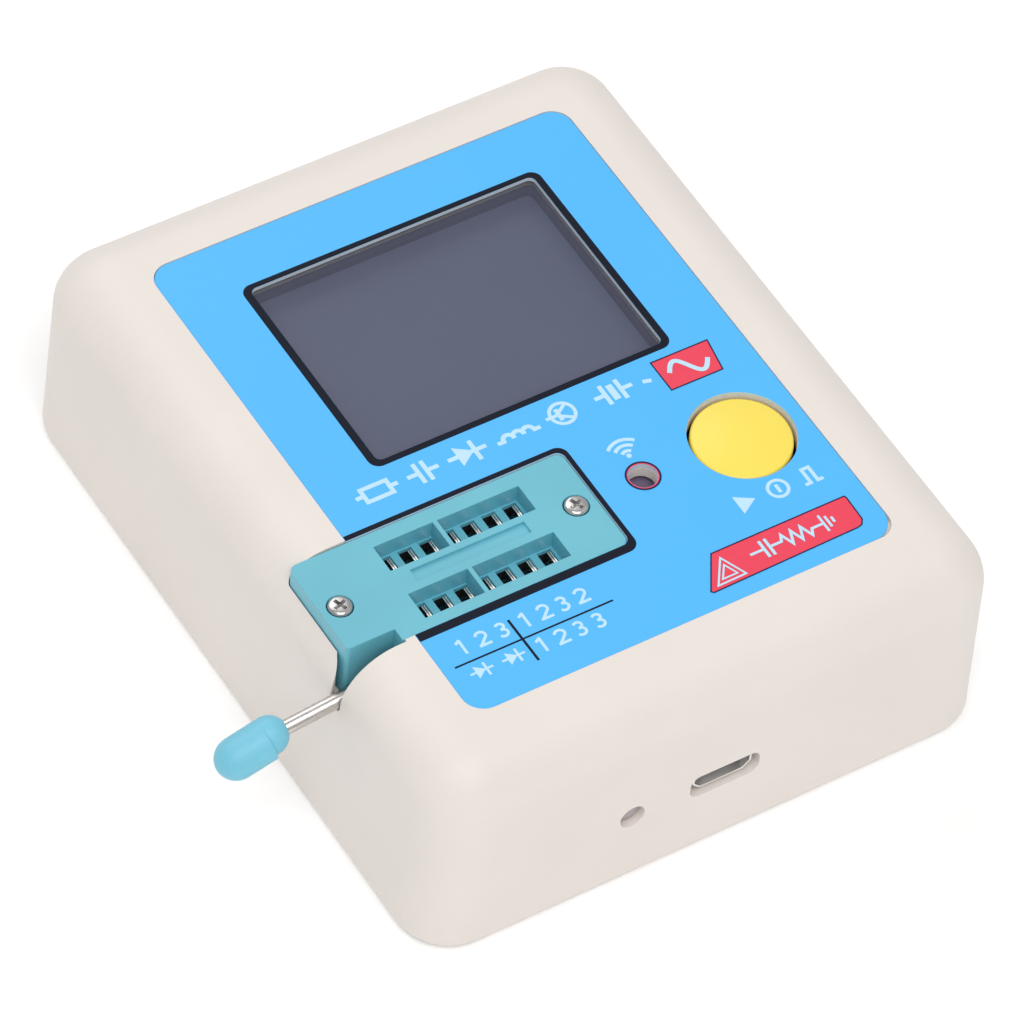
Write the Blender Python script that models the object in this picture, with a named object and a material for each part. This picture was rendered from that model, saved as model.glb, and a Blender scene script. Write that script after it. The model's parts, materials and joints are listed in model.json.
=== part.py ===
"""Component tester: a hand-sized bench instrument with a lever-operated test socket.

The frame is in metres, +Z up. The origin is the centre of the bottom face, +X runs along the
reading direction of the front panel, and +Y points to the display's end of the case.
"""
import math

import bmesh
import bpy
from mathutils import Matrix, Vector

GAP = 0.0003                 # clearance between pieces that touch
WALL = 0.0020                # case wall
OVERSHOOT = 0.0010           # how far a cutter runs past the face that it opens

# Case
CASE_X = 0.0722
CASE_Y = 0.0882
CASE_Z = 0.0274
CASE_CORNER = 0.0062         # radius of the upright corners
CASE_DRAFT = 0.00045         # how far the sides lean in by the top of the wall
CASE_TOP_RADIUS = 0.0068     # rounding of the top edge
CASE_FOOT_RADIUS = 0.0012    # rounding of the bottom edge
CROWN_CORNER = 0.0012        # corner radius of the flat top

# Front panel film
LABEL_X = 0.0534
LABEL_Y = 0.0693
LABEL_CORNER = 0.0025
LABEL_THICK = 0.0003
PANEL_Z = CASE_Z - LABEL_THICK - GAP     # floor of the recess that holds the film
ROOF_CUT_Z = CASE_Z - 0.0040             # how deep the openings in the roof are cut

# Display
DISPLAY_CENTRE = (0.0, 0.0134)
DISPLAY_VIEW = (0.0362, 0.0271)          # clear part of the window
DISPLAY_CORNER = 0.0012
WINDOW_POCKET_CORNER = 0.0015
WINDOW_SIZE = (0.0384, 0.0294)
WINDOW_Z = (PANEL_Z - 0.0007, PANEL_Z)
PANEL_GLASS = (0.0392, 0.0302, 0.0014)
BACKLIGHT = (0.0398, 0.0308, 0.0020)
LCD_BOARD = (0.0420, 0.0320, 0.0012)
LCD_TOP = CASE_Z - 0.0031
LCD_SPACER_RADIUS = 0.0020
LCD_SPACER_REACH = 0.0125                # along Y, from the display's centre

# Main board
BOARD_X = 0.0650
BOARD_Y = 0.0810
BOARD_NOTCH = 0.0085
BOARD_Z = (0.0125, 0.0141)
BOARD_TOP = BOARD_Z[1] + GAP             # underside of parts on the top of the board
BOARD_UNDER = BOARD_Z[0] - GAP           # top of parts hung below the board
PIN_SIDE = 0.0005
PIN_END = BOARD_Z[0] - 0.0010            # how far leads reach below the board

# Test socket
PIN_PITCH = 0.00254                      # of the headers and leads on the board
COLUMNS = 7
SOCKET_X = (-0.0339, 0.0002)
SOCKET_Y = (-0.0225, -0.0083)
SOCKET_MID_Y = -0.01545
SOCKET_TOP = CASE_Z - 0.0002
SOCKET_RIM = 0.00012                     # chamfer of the cover's top edge
SOCKET_SPLIT = 0.0197                    # parting plane of base and cover
SOCKET_CORNER = 0.0010
NOTCH_X = -0.0281                        # right end of the notch that the lever stands in
NOTCH_Y = -0.0208
NOTCH_CORNER = 0.0005
COVER_SIDE = 0.0012
TROUGH_X = (-0.0244, -0.0063)
ROW_MIDDLES = (-0.0192, -0.0120)         # of both rows of troughs and contacts, along Y
TROUGH_Y = 0.0036
TROUGH_DEPTH = 0.0024
COVER_FLOOR = 0.0005                     # plate under the troughs
DIVIDER_X = -0.01677
DIVIDER_WIDTH = 0.00057
HOLE_X0 = -0.02405                       # left edge of the first column's holes
HOLE_PITCH = 0.00262
HOLE_SIZE = (0.00198, 0.0032)
HOLE_OVERCUT = 0.00005                   # above the trough's floor
RECESS_CENTRE = (-0.01544, -0.01548)
RECESS_SIZE = (0.0142, 0.0016)
RECESS_DEPTH = 0.0004
SOCKET_SCREW_X = {"left": -0.03163, "right": -0.0022}
SOCKET_SCREW_SINK = 0.0006               # seat of the head below the cover's top
SLIDER_END = 0.0042                      # solid right end of the cover, past the slider's room

# Contacts
LEAF = 0.00014                           # thickness of one leaf
LEAF_PAIR = 0.00048                      # width over both leaves
LEAF_HALF_Y = 0.0014
LEAF_OFFSET = 0.0012                     # from the hole's left edge
LEAF_TOP = SOCKET_TOP - TROUGH_DEPTH - 0.00015
CONTACT_FOOT = 0.0165
CONTACT_BRIDGE = 0.0185                  # top of the foot that joins the two leaves

# Lever, cam and slider
ROD_RADIUS = 0.00086
LEVER_X = -0.0296
LEVER_Z = 0.0214
ARM_Y = -0.02195
ARM_DIP = math.radians(7.6)
ARM_REACH = 0.0164
ARM_BEND = 0.0014                        # radius of the bend between shaft and arm
ARM_WALL_Z = 0.0206                      # height of the arm where it passes through the case's side
KNOB_REACH = 0.0162                      # axis to the knob's middle
KNOB_LENGTH = 0.00885
KNOB_RADIUS = 0.0024
KNOB_CAP = 0.0025                        # length of its rounded outer end
KNOB_DROOP = math.radians(9.0)
KNOB_SINK = 0.0006                       # how far its middle hangs below the arm
NECK_RADIUS = 0.0022
NECK_LENGTH = 0.0025
NECK_CAP = 0.0022
NECK_SHIFT = (0.00010, 0.00015)          # off the knob's axis, so that the step shows on one side
KNOB_BORE_START = 0.0090
CAM_RADIUS = 0.0014
CAM_OFFSET = 0.00057
CAM_REST = math.radians(-48.5)           # cam direction at rest, from +Z towards +X
CAM_SPANS = ((-0.0191, -0.0169), (-0.0139, -0.0110))
SHAFT_END_Y = -0.0101
SLIDER_TRAVEL = 0.00085
SLIDER_Z = (0.0226, 0.0240)

# Button
BUTTON_CENTRE = (0.0189, -0.0156)
BUTTON_RADIUS = 0.0057
BUTTON_HOLE_RADIUS = 0.00605
BUTTON_TRAVEL = 0.0004
BUTTON_CROWN = CASE_Z + 0.0002
BUTTON_EDGE = CASE_Z - 0.0005
BUTTON_SKIRT = 0.0206
CAP_CROWN_SHARES = (0.75, 0.4)           # of the radius, where the crown's rings lie
CAP_POCKET = 0.0030                      # depth of the pocket for the stem's head
SWITCH_SIDE = 0.0120
SWITCH_HEIGHT = 0.0036
SWITCH_CORNER = 0.0008
SWITCH_FLOOR = 0.0008
SWITCH_POCKET_RADIUS = 0.0036
SWITCH_LEGS = (0.0055, 0.0025)           # from the switch's middle
SWITCH_LEG_BITE = 0.0015                 # how far a leg reaches into the body
SWITCH_PLATE = 0.0004
SWITCH_PLATE_HOLE = 0.0030
STEM_FOOT_RADIUS = 0.0033
STEM_RADIUS = 0.0027
STEM_SLACK = 0.0002                      # under the foot when the button is pressed fully
STEM_HEAD_HALF = 0.00192
STEM_HEAD = (0.0010, 0.0026)             # how far the head reaches below and above the cap's skirt

# Infra-red receiver, charge lamp and charging port
IR_CENTRE = (0.0063, -0.0154)
IR_HOLE_RADIUS = 0.0016
IR_BODY_HALF = 0.0035
IR_BODY_Z = (0.0204, 0.0232)
IR_DOME_RADIUS = 0.0032
IR_DOME_Z = (0.0243, 0.0251)             # where its side ends, and its top
LAMP_X = -0.0111
LAMP_Z = 0.0107
LAMP_HOLE_RADIUS = 0.00155
LAMP_RADIUS = 0.00145
LAMP_FRONT_Y = -0.0428                   # where its tip starts to round over
LAMP_TIP = 0.0005
LAMP_FLANGE = (0.0018, -0.0390, -0.0382)
USB_X = 0.0006
USB_Z = 0.01085
USB_HOLE = (0.0088, 0.0033)
USB_HOLE_CORNER = 0.0012
USB_SHELL = (0.0075, 0.0025, 0.0052)

# Case screws and board screws
CASE_SCREWS = ((-0.0300, -0.0380), (0.0300, -0.0380), (-0.0300, 0.0380), (0.0300, 0.0380))
BOARD_SCREWS = ((-0.0290, -0.0300), (0.0290, -0.0300), (-0.0290, 0.0270), (0.0290, 0.0270))
POST_RADIUS = 0.0033
BOARD_POST_RADIUS = 0.0026
POST_FOOT_Z = 0.0043
POST_ROOF_Z = CASE_Z - 0.0045            # posts end inside the case's wall
BOARD_POST_ROOF_Z = CASE_Z - 0.0016
CASE_SCREW = {"head": 0.0025, "height": 0.0016, "shank": 0.0013, "length": 0.0100}
BOARD_SCREW = {"head": 0.0022, "height": 0.0013, "shank": 0.0010, "length": 0.0060}
SOCKET_SCREW = {"head": 0.0014, "height": 0.0009, "shank": 0.0008, "length": 0.0110}
COVER_THICK = 0.0020
WELL_TOP = 0.0040
WELL_DEPTH = 0.0025

# Battery and its leads
BATTERY_SIZE = (0.0250, 0.0350, 0.0060)
BATTERY_CENTRE = (0.0020, 0.0120)
BATTERY_Z = COVER_THICK + GAP
PLUG_CENTRE = (-0.0080, -0.0260)
PLUG_Z = 0.0094
LEAD_RADIUS = 0.0006
LEAD_SPACING = 0.0020
LEAD_HANDLE = 0.0060         # how far a lead runs on straight before it bends

COLOURS = {
    "case_plastic": ((0.80, 0.74, 0.69), 0.50, 0.0),
    "panel_film": ((0.11, 0.51, 1.00), 0.45, 0.0),
    "window_clear": ((0.14, 0.15, 0.21), 0.08, 0.0),
    "socket_plastic": ((0.16, 0.53, 0.66), 0.42, 0.0),
    "knob_vinyl": ((0.22, 0.63, 0.76), 0.50, 0.0),
    "button_plastic": ((0.95, 0.77, 0.14), 0.38, 0.0),
    "black_plastic": ((0.02, 0.02, 0.02), 0.45, 0.0),
    "white_plastic": ((0.80, 0.80, 0.78), 0.45, 0.0),
    "tinned_metal": ((0.72, 0.70, 0.68), 0.25, 1.0),
    "screw_steel": ((0.62, 0.60, 0.60), 0.22, 1.0),
    "contact_metal": ((0.78, 0.76, 0.72), 0.25, 1.0),
    "board_laminate": ((0.02, 0.16, 0.07), 0.45, 0.0),
    "lcd_glass": ((0.14, 0.15, 0.21), 0.12, 0.0),
    "ribbon_film": ((0.55, 0.28, 0.05), 0.40, 0.0),
    "lamp_resin": ((0.75, 0.75, 0.72), 0.15, 0.0),
    "cell_foil": ((0.60, 0.61, 0.63), 0.35, 1.0),
    "lead_red": ((0.60, 0.02, 0.02), 0.45, 0.0),
    "lead_black": ((0.02, 0.02, 0.02), 0.45, 0.0),
}


# ---------------------------------------------------------------- scene and materials

def clear_scene():
    for old in list(bpy.data.objects):
        bpy.data.objects.remove(old, do_unlink=True)


def material(name):
    made = bpy.data.materials.get(name)
    if made:
        return made
    colour, roughness, metallic = COLOURS[name]
    made = bpy.data.materials.new(name)
    made.use_nodes = True
    shader = made.node_tree.nodes["Principled BSDF"]
    shader.inputs["Base Color"].default_value = (*colour, 1.0)
    shader.inputs["Roughness"].default_value = roughness
    shader.inputs["Metallic"].default_value = metallic
    return made


# ---------------------------------------------------------------- outlines

def arc(centre, radius, start, end, steps):
    """Points on an arc, in degrees, both ends included."""
    points = []
    for i in range(steps + 1):
        angle = math.radians(start + (end - start) * i / steps)
        points.append((centre[0] + radius * math.cos(angle), centre[1] + radius * math.sin(angle)))
    return points


def rounded(size_x, size_y, radius, steps, centre=(0.0, 0.0)):
    """A rounded rectangle, counter-clockwise."""
    points = []
    for sign_x, sign_y, start in ((1, 1, 0), (-1, 1, 90), (-1, -1, 180), (1, -1, 270)):
        middle = (centre[0] + sign_x * (size_x / 2 - radius), centre[1] + sign_y * (size_y / 2 - radius))
        points += arc(middle, radius, start, start + 90, steps)
    return points


def rectangle(low_x, low_y, high_x, high_y):
    return [(low_x, low_y), (high_x, low_y), (high_x, high_y), (low_x, high_y)]


def chamfered(low_x, low_y, high_x, high_y, cut):
    return [
        (low_x + cut, low_y), (high_x - cut, low_y), (high_x, low_y + cut), (high_x, high_y - cut),
        (high_x - cut, high_y), (low_x + cut, high_y), (low_x, high_y - cut), (low_x, low_y + cut),
    ]


def socket_outline(inset=0.0):
    """The socket's plan: a rectangle with rounded corners and a notch at the front left."""
    low_x, high_x = SOCKET_X[0] + inset, SOCKET_X[1] - inset
    low_y, high_y = SOCKET_Y[0] + inset, SOCKET_Y[1] - inset
    notch_x, notch_y = NOTCH_X + inset, NOTCH_Y + inset
    big, small = SOCKET_CORNER - inset, NOTCH_CORNER - inset
    points = [(notch_x, low_y)]
    points += arc((high_x - big, low_y + big), big, -90, 0, 4)
    points += arc((high_x - big, high_y - big), big, 0, 90, 4)
    points += arc((low_x + big, high_y - big), big, 90, 180, 4)
    points += arc((low_x + small, notch_y + small), small, 180, 270, 3)
    points.append((notch_x, notch_y))
    return points


def socket_opening(left):
    """Plan of the opening round the socket, with a gap on each side, from a chosen left end."""
    right, low, high = SOCKET_X[1] + GAP, SOCKET_Y[0] - GAP, SOCKET_Y[1] + GAP
    middle = ((left + right) / 2, (low + high) / 2)
    return rounded(right - left, high - low, SOCKET_CORNER + GAP, 4, middle)


# ---------------------------------------------------------------- solids

def finish(name, bm, slot, smooth_angle=None):
    """Turns a bmesh into a named object with its material."""
    bmesh.ops.recalc_face_normals(bm, faces=bm.faces)
    mesh = bpy.data.meshes.new(name)
    bm.to_mesh(mesh)
    bm.free()
    made = bpy.data.objects.new(name, mesh)
    bpy.context.scene.collection.objects.link(made)
    if slot:
        mesh.materials.append(material(slot))
    if smooth_angle:
        mesh.shade_smooth()
        mesh.set_sharp_from_angle(angle=math.radians(smooth_angle))
    return made


def add_loft(bm, rings):
    """Skins equal rings of points into one closed body, with a flat cap on each end."""
    loops = []
    for ring in rings:
        loops.append([bm.verts.new(point) for point in ring])
    count = len(loops[0])
    for lower, upper in zip(loops, loops[1:]):
        for i in range(count):
            j = (i + 1) % count
            bm.faces.new((lower[i], lower[j], upper[j], upper[i]))
    bm.faces.new(list(reversed(loops[0])))
    bm.faces.new(loops[-1])


def level(outline, z):
    return [(x, y, z) for x, y in outline]


def add_prism(bm, outline, low_z, high_z):
    add_loft(bm, [level(outline, low_z), level(outline, high_z)])


def add_box(bm, low, high):
    add_prism(bm, rectangle(low[0], low[1], high[0], high[1]), low[2], high[2])


def add_turned(bm, profile, steps, centre=(0.0, 0.0)):
    """A body turned about Z from (radius, z) points, with flat ends."""
    rings = []
    for radius, z in profile:
        ring = arc(centre, radius, 0, 360, steps)[:-1]
        rings.append(level(ring, z))
    add_loft(bm, rings)


def add_cylinder(bm, centre, radius, low_z, high_z, steps):
    add_turned(bm, [(radius, low_z), (radius, high_z)], steps, centre)


def add_pin(bm, x, y, high_z):
    """A square lead that reaches through the main board."""
    half = PIN_SIDE / 2
    add_box(bm, (x - half, y - half, PIN_END), (x + half, y + half, high_z))


def turn_to_y(bm, x, z):
    """Lays a body that was built along Z down along Y, with its own Y pointing up."""
    swap = Matrix(((1, 0, 0, x), (0, 0, 1, 0), (0, 1, 0, z), (0, 0, 0, 1)))
    bmesh.ops.transform(bm, matrix=swap, verts=bm.verts)


def solid(name, outline, low_z, high_z, slot, smooth_angle=None):
    bm = bmesh.new()
    add_prism(bm, outline, low_z, high_z)
    return finish(name, bm, slot, smooth_angle)


def helper(made):
    """Marks an object as a cutter or an added shape, which isn't a piece itself."""
    made.hide_render = True
    made.display_type = "WIRE"
    return made


def combine(target, operation, other):
    """Adds a Boolean modifier, which stays on the target."""
    step = target.modifiers.new(operation.lower() + "_" + other.name, "BOOLEAN")
    step.operation = operation
    step.solver = "EXACT"
    step.object = helper(other)


# ---------------------------------------------------------------- case

def case_ring(inset, z, radius, inward=0.0):
    outline = rounded(CASE_X - 2 * (inset + inward), CASE_Y - 2 * (inset + inward), radius, 6)
    return level(outline, z)


def case_rings(inward, foot_radius, steps):
    """Rings of the case's surface, moved inward by the wall, from its foot to its flat top."""
    rings = []
    corner = CASE_CORNER - inward * 0.8
    top = CASE_Z - inward
    rounding = CASE_TOP_RADIUS - inward
    if foot_radius:
        for i in range(3):
            angle = math.radians(45 * i)
            inset = foot_radius * (1 - math.sin(angle))
            rings.append(case_ring(inset, foot_radius * (1 - math.cos(angle)), corner, inward))
    else:
        rings.append(case_ring(0.0, 0.0, corner, inward))
    for i in range(steps + 1):
        angle = math.radians(90 * i / steps)
        share = 1 - math.cos(angle)
        inset = CASE_DRAFT + rounding * share
        radius = corner + (CROWN_CORNER - corner) * share
        rings.append(case_ring(inset, top - rounding * (1 - math.sin(angle)), radius, inward))
    return rings


def make_posts():
    bm = bmesh.new()
    for centre in CASE_SCREWS:
        add_cylinder(bm, centre, POST_RADIUS, POST_FOOT_Z, POST_ROOF_Z, 12)
    for centre in BOARD_SCREWS:
        add_cylinder(bm, centre, BOARD_POST_RADIUS, BOARD_TOP, BOARD_POST_ROOF_Z, 12)
    return finish("post_shapes", bm, None)


def make_recess_cutter():
    side = 2 * GAP
    outline = rounded(LABEL_X + side, LABEL_Y + side, LABEL_CORNER + GAP, 4)
    return solid("recess_cutter", outline, PANEL_Z, CASE_Z + OVERSHOOT, None)


def make_opening_cutter():
    """Openings through the top, the front and the screw posts."""
    bm = bmesh.new()
    top = CASE_Z + OVERSHOOT
    case_tip = WELL_DEPTH + CASE_SCREW["length"] + GAP
    board_tip = BOARD_UNDER + BOARD_SCREW["length"] + GAP
    pocket = rounded(WINDOW_SIZE[0] + 2 * GAP, WINDOW_SIZE[1] + 2 * GAP, WINDOW_POCKET_CORNER, 3,
                     DISPLAY_CENTRE)
    add_prism(bm, pocket, WINDOW_Z[0] - GAP, top)
    add_prism(bm, socket_opening(SOCKET_X[0] - GAP), BOARD_Z[1], top)
    add_cylinder(bm, BUTTON_CENTRE, BUTTON_HOLE_RADIUS, ROOF_CUT_Z, top, 32)
    add_cylinder(bm, IR_CENTRE, IR_HOLE_RADIUS, ROOF_CUT_Z, top, 20)
    for centre in CASE_SCREWS:
        add_cylinder(bm, centre, CASE_SCREW["shank"] + GAP, POST_FOOT_Z - OVERSHOOT, case_tip, 12)
    for centre in BOARD_SCREWS:
        add_cylinder(bm, centre, BOARD_SCREW["shank"] + GAP, BOARD_Z[1], board_tip, 12)
    return finish("opening_cutter", bm, None)


def make_front_cutter():
    """The lamp hole and the charging port's opening, cut along Y."""
    bm = bmesh.new()
    depth = (-CASE_Y / 2 - OVERSHOOT, -CASE_Y / 2 + 2 * WALL)
    add_cylinder(bm, (LAMP_X - USB_X, LAMP_Z - USB_Z), LAMP_HOLE_RADIUS, *depth, 20)
    add_prism(bm, rounded(*USB_HOLE, USB_HOLE_CORNER, 4), *depth)
    turn_to_y(bm, USB_X, USB_Z)
    return finish("front_cutter", bm, None)


def make_slot_cutter():
    """The display opening, and the slot with a round bottom that the lever's arm swings in."""
    bm = bmesh.new()
    view = rounded(DISPLAY_VIEW[0] + 2 * GAP, DISPLAY_VIEW[1] + 2 * GAP, DISPLAY_CORNER, 3, DISPLAY_CENTRE)
    add_prism(bm, view, ROOF_CUT_Z, CASE_Z)
    side = ROD_RADIUS + GAP
    top = CASE_Z + OVERSHOOT
    outline = arc((ARM_Y, ARM_WALL_Z), side, 180, 360, 10) + [(ARM_Y + side, top), (ARM_Y - side, top)]
    ends = (-CASE_X / 2 - OVERSHOOT, NOTCH_X + GAP)
    add_loft(bm, [[(x, y, z) for y, z in outline] for x in ends])
    return finish("slot_cutter", bm, None)


def make_top_shell():
    outer = case_rings(0.0, CASE_FOOT_RADIUS, 7)
    inner = case_rings(WALL, 0.0, 3)
    bm = bmesh.new()
    add_loft(bm, list(reversed(inner)) + outer)
    shell = finish("top_shell", bm, "case_plastic", 30)
    combine(shell, "UNION", make_posts())
    combine(shell, "DIFFERENCE", make_recess_cutter())
    combine(shell, "DIFFERENCE", make_opening_cutter())
    combine(shell, "DIFFERENCE", make_front_cutter())
    combine(shell, "DIFFERENCE", make_slot_cutter())


def make_bottom_cover():
    inward = WALL + GAP
    outline = rounded(CASE_X - 2 * inward, CASE_Y - 2 * inward, CASE_CORNER - inward, 5)
    cover = solid("bottom_cover", outline, 0.0, COVER_THICK, "case_plastic")
    bm = bmesh.new()
    for x, y in CASE_SCREWS:
        shift = (x - math.copysign(0.0005, x), y - math.copysign(0.0005, y))
        add_cylinder(bm, shift, POST_RADIUS, COVER_THICK / 2, WELL_TOP, 12)
    combine(cover, "UNION", finish("well_shapes", bm, None))
    bm = bmesh.new()
    for centre in CASE_SCREWS:
        seat = CASE_SCREW["head"] + GAP
        bore = CASE_SCREW["shank"] + GAP
        profile = [(seat, -OVERSHOOT), (seat, WELL_DEPTH), (bore, WELL_DEPTH), (bore, WELL_TOP + OVERSHOOT)]
        add_turned(bm, profile, 12, centre)
    combine(cover, "DIFFERENCE", finish("well_cutter", bm, None))


# ---------------------------------------------------------------- screws

def make_screw(name, size, location, points_up, slot):
    """A pan-head screw with a cross recess. Its origin is under the head, on its axis."""
    head, height, shank = size["head"], size["height"], size["shank"]
    bm = bmesh.new()
    profile = [
        (shank * 0.4, -size["length"]), (shank, -size["length"] + shank), (shank, 0.0), (head, 0.0),
        (head, height * 0.5), (head * 0.75, height),
    ]
    add_turned(bm, profile, 12)
    screw = finish(name, bm, slot, 40)
    long_side, short_side, depth = head * 0.6, head * 0.13, height * 0.55
    bm = bmesh.new()
    cross = []
    for quarter in range(4):
        angle = math.radians(90 * quarter)
        for x, y in ((short_side, -short_side), (long_side, -short_side), (long_side, short_side)):
            cross.append((x * math.cos(angle) - y * math.sin(angle), x * math.sin(angle) + y * math.cos(angle)))
    add_prism(bm, cross, height - depth, height + OVERSHOOT)
    cutter = finish(name + "_cross", bm, None)
    cutter.parent = screw
    combine(screw, "DIFFERENCE", cutter)
    screw.location = location
    if not points_up:
        screw.rotation_euler = (math.pi, 0.0, 0.0)


def make_screws():
    for number, (x, y) in enumerate(CASE_SCREWS, 1):
        seat = WELL_DEPTH - GAP
        make_screw(f"case_screw_{number}", CASE_SCREW, (x, y, seat), False, "screw_steel")
    for number, (x, y) in enumerate(BOARD_SCREWS, 1):
        make_screw(f"board_screw_{number}", BOARD_SCREW, (x, y, BOARD_UNDER), False, "screw_steel")
    for side, x in SOCKET_SCREW_X.items():
        seat = SOCKET_TOP - SOCKET_SCREW_SINK
        make_screw(f"socket_screw_{side}", SOCKET_SCREW, (x, SOCKET_MID_Y, seat), True, "screw_steel")


# ---------------------------------------------------------------- front panel

def make_front_label():
    label = solid("front_label", rounded(LABEL_X, LABEL_Y, LABEL_CORNER, 4),
                  CASE_Z - LABEL_THICK, CASE_Z, "panel_film")
    low, high = CASE_Z - LABEL_THICK - OVERSHOOT, CASE_Z + OVERSHOOT
    bm = bmesh.new()
    add_prism(bm, rounded(*DISPLAY_VIEW, DISPLAY_CORNER, 3, DISPLAY_CENTRE), low, high)
    add_prism(bm, socket_opening(-CASE_X / 2), low, high)
    add_cylinder(bm, BUTTON_CENTRE, BUTTON_HOLE_RADIUS, low, high, 32)
    add_cylinder(bm, IR_CENTRE, IR_HOLE_RADIUS, low, high, 20)
    combine(label, "DIFFERENCE", finish("label_cutter", bm, None))


def make_display():
    window = rounded(*WINDOW_SIZE, DISPLAY_CORNER, 3, DISPLAY_CENTRE)
    solid("display_window", window, *WINDOW_Z, "window_clear")
    x, y = DISPLAY_CENTRE
    top = LCD_TOP
    stack = (("lcd_glass", PANEL_GLASS, "lcd_glass"), ("lcd_backlight", BACKLIGHT, "white_plastic"),
             ("lcd_board", LCD_BOARD, "board_laminate"))
    for name, (size_x, size_y, thick), slot in stack:
        plan = rectangle(x - size_x / 2, y - size_y / 2, x + size_x / 2, y + size_y / 2)
        solid(name, plan, top - thick, top, slot)
        top -= thick + GAP


def lcd_board_underside():
    return LCD_TOP - PANEL_GLASS[2] - BACKLIGHT[2] - LCD_BOARD[2] - 2 * GAP


def header_rows():
    """Places of the display header's pins along Y."""
    return [DISPLAY_CENTRE[1] + (i - 3.5) * PIN_PITCH for i in range(8)]


HEADER_X = DISPLAY_CENTRE[0] - LCD_BOARD[0] / 2 + 0.0020


def make_lcd_fittings():
    under = lcd_board_underside() - GAP
    half = PIN_PITCH / 2
    rows = header_rows()
    plan = rectangle(HEADER_X - half, rows[0] - half, HEADER_X + half, rows[-1] + half)
    header = solid("lcd_header", plan, BOARD_TOP, under, "black_plastic")
    bm = bmesh.new()
    for y in rows:
        add_pin(bm, HEADER_X, y, BOARD_TOP + half)
    combine(header, "UNION", finish("header_pin_shapes", bm, None))
    right = DISPLAY_CENTRE[0] + LCD_BOARD[0] / 2 - 0.0030
    for number, side in enumerate((-1, 1), 1):
        centre = (right, DISPLAY_CENTRE[1] + side * LCD_SPACER_REACH)
        bm = bmesh.new()
        add_cylinder(bm, centre, LCD_SPACER_RADIUS, BOARD_TOP, under, 12)
        finish(f"lcd_spacer_{number}", bm, "white_plastic", 40)
    make_lcd_ribbon()


def make_lcd_ribbon():
    """A flat lead that folds round the display's right edge, from the glass to its board."""
    thick, half_width = 0.0002, 0.0060
    edge = DISPLAY_CENTRE[0] + LCD_BOARD[0] / 2 + 0.0006
    high = LCD_TOP - PANEL_GLASS[2] / 2
    low = LCD_TOP - PANEL_GLASS[2] - BACKLIGHT[2] - LCD_BOARD[2] / 2 - 2 * GAP
    middle, radius = (edge, (high + low) / 2), (high - low) / 2
    start_x = DISPLAY_CENTRE[0] + PANEL_GLASS[0] / 2 + GAP
    end_x = DISPLAY_CENTRE[0] + LCD_BOARD[0] / 2 + GAP
    outer = arc(middle, radius + thick / 2, 90, -90, 10)
    inner = arc(middle, radius - thick / 2, -90, 90, 10)
    outline = [(start_x, outer[0][1])] + outer + [(end_x, outer[-1][1])]
    outline += [(end_x, inner[0][1])] + inner + [(start_x, inner[-1][1])]
    bm = bmesh.new()
    y = DISPLAY_CENTRE[1]
    add_loft(bm, [[(x, side, z) for x, z in outline] for side in (y - half_width, y + half_width)])
    finish("lcd_ribbon", bm, "ribbon_film")


# ---------------------------------------------------------------- start button and its switch

def make_button():
    x, y = BUTTON_CENTRE
    bm = bmesh.new()
    profile = [(BUTTON_RADIUS, BUTTON_SKIRT)]
    profile.append((BUTTON_RADIUS, BUTTON_EDGE - 0.0004))
    profile.append((BUTTON_RADIUS - 0.0001, BUTTON_EDGE - 0.0001))
    profile.append((BUTTON_RADIUS - 0.0005, BUTTON_EDGE + 0.0001))
    for share in CAP_CROWN_SHARES:
        rise = (BUTTON_CROWN - BUTTON_EDGE) * (1 - share ** 2)
        profile.append((BUTTON_RADIUS * share, BUTTON_EDGE + rise))
    add_turned(bm, profile, 32)
    cap = finish("start_button", bm, "button_plastic", 40)
    socket = STEM_HEAD_HALF + GAP
    hole = rectangle(-socket, -socket, socket, socket)
    cutter = solid("button_socket_cutter", hole, BUTTON_SKIRT - OVERSHOOT, BUTTON_SKIRT + CAP_POCKET, None)
    cutter.parent = cap
    combine(cap, "DIFFERENCE", cutter)
    cap.location = (x, y, 0.0)


def switch_leg_places():
    x, y = BUTTON_CENTRE
    return [(x + side * SWITCH_LEGS[0], y + end * SWITCH_LEGS[1]) for side in (-1, 1) for end in (-1, 1)]


def make_switch():
    low, high = BOARD_TOP, BOARD_TOP + SWITCH_HEIGHT
    plan = rounded(SWITCH_SIDE, SWITCH_SIDE, SWITCH_CORNER, 2, BUTTON_CENTRE)
    body = solid("start_switch_body", plan, low, high, "black_plastic")
    bm = bmesh.new()
    for leg_x, leg_y in switch_leg_places():
        add_pin(bm, leg_x, leg_y, low + SWITCH_LEG_BITE)
    combine(body, "UNION", finish("switch_leg_shapes", bm, None))
    bm = bmesh.new()
    add_cylinder(bm, BUTTON_CENTRE, SWITCH_POCKET_RADIUS, low + SWITCH_FLOOR, high + OVERSHOOT, 20)
    combine(body, "DIFFERENCE", finish("switch_pocket_cutter", bm, None))
    plate = solid("start_switch_plate", plan, high + GAP, high + GAP + SWITCH_PLATE, "tinned_metal")
    bm = bmesh.new()
    add_cylinder(bm, BUTTON_CENTRE, SWITCH_PLATE_HOLE, high - OVERSHOOT, high + 2 * OVERSHOOT, 20)
    combine(plate, "DIFFERENCE", finish("plate_cutter", bm, None))


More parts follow.
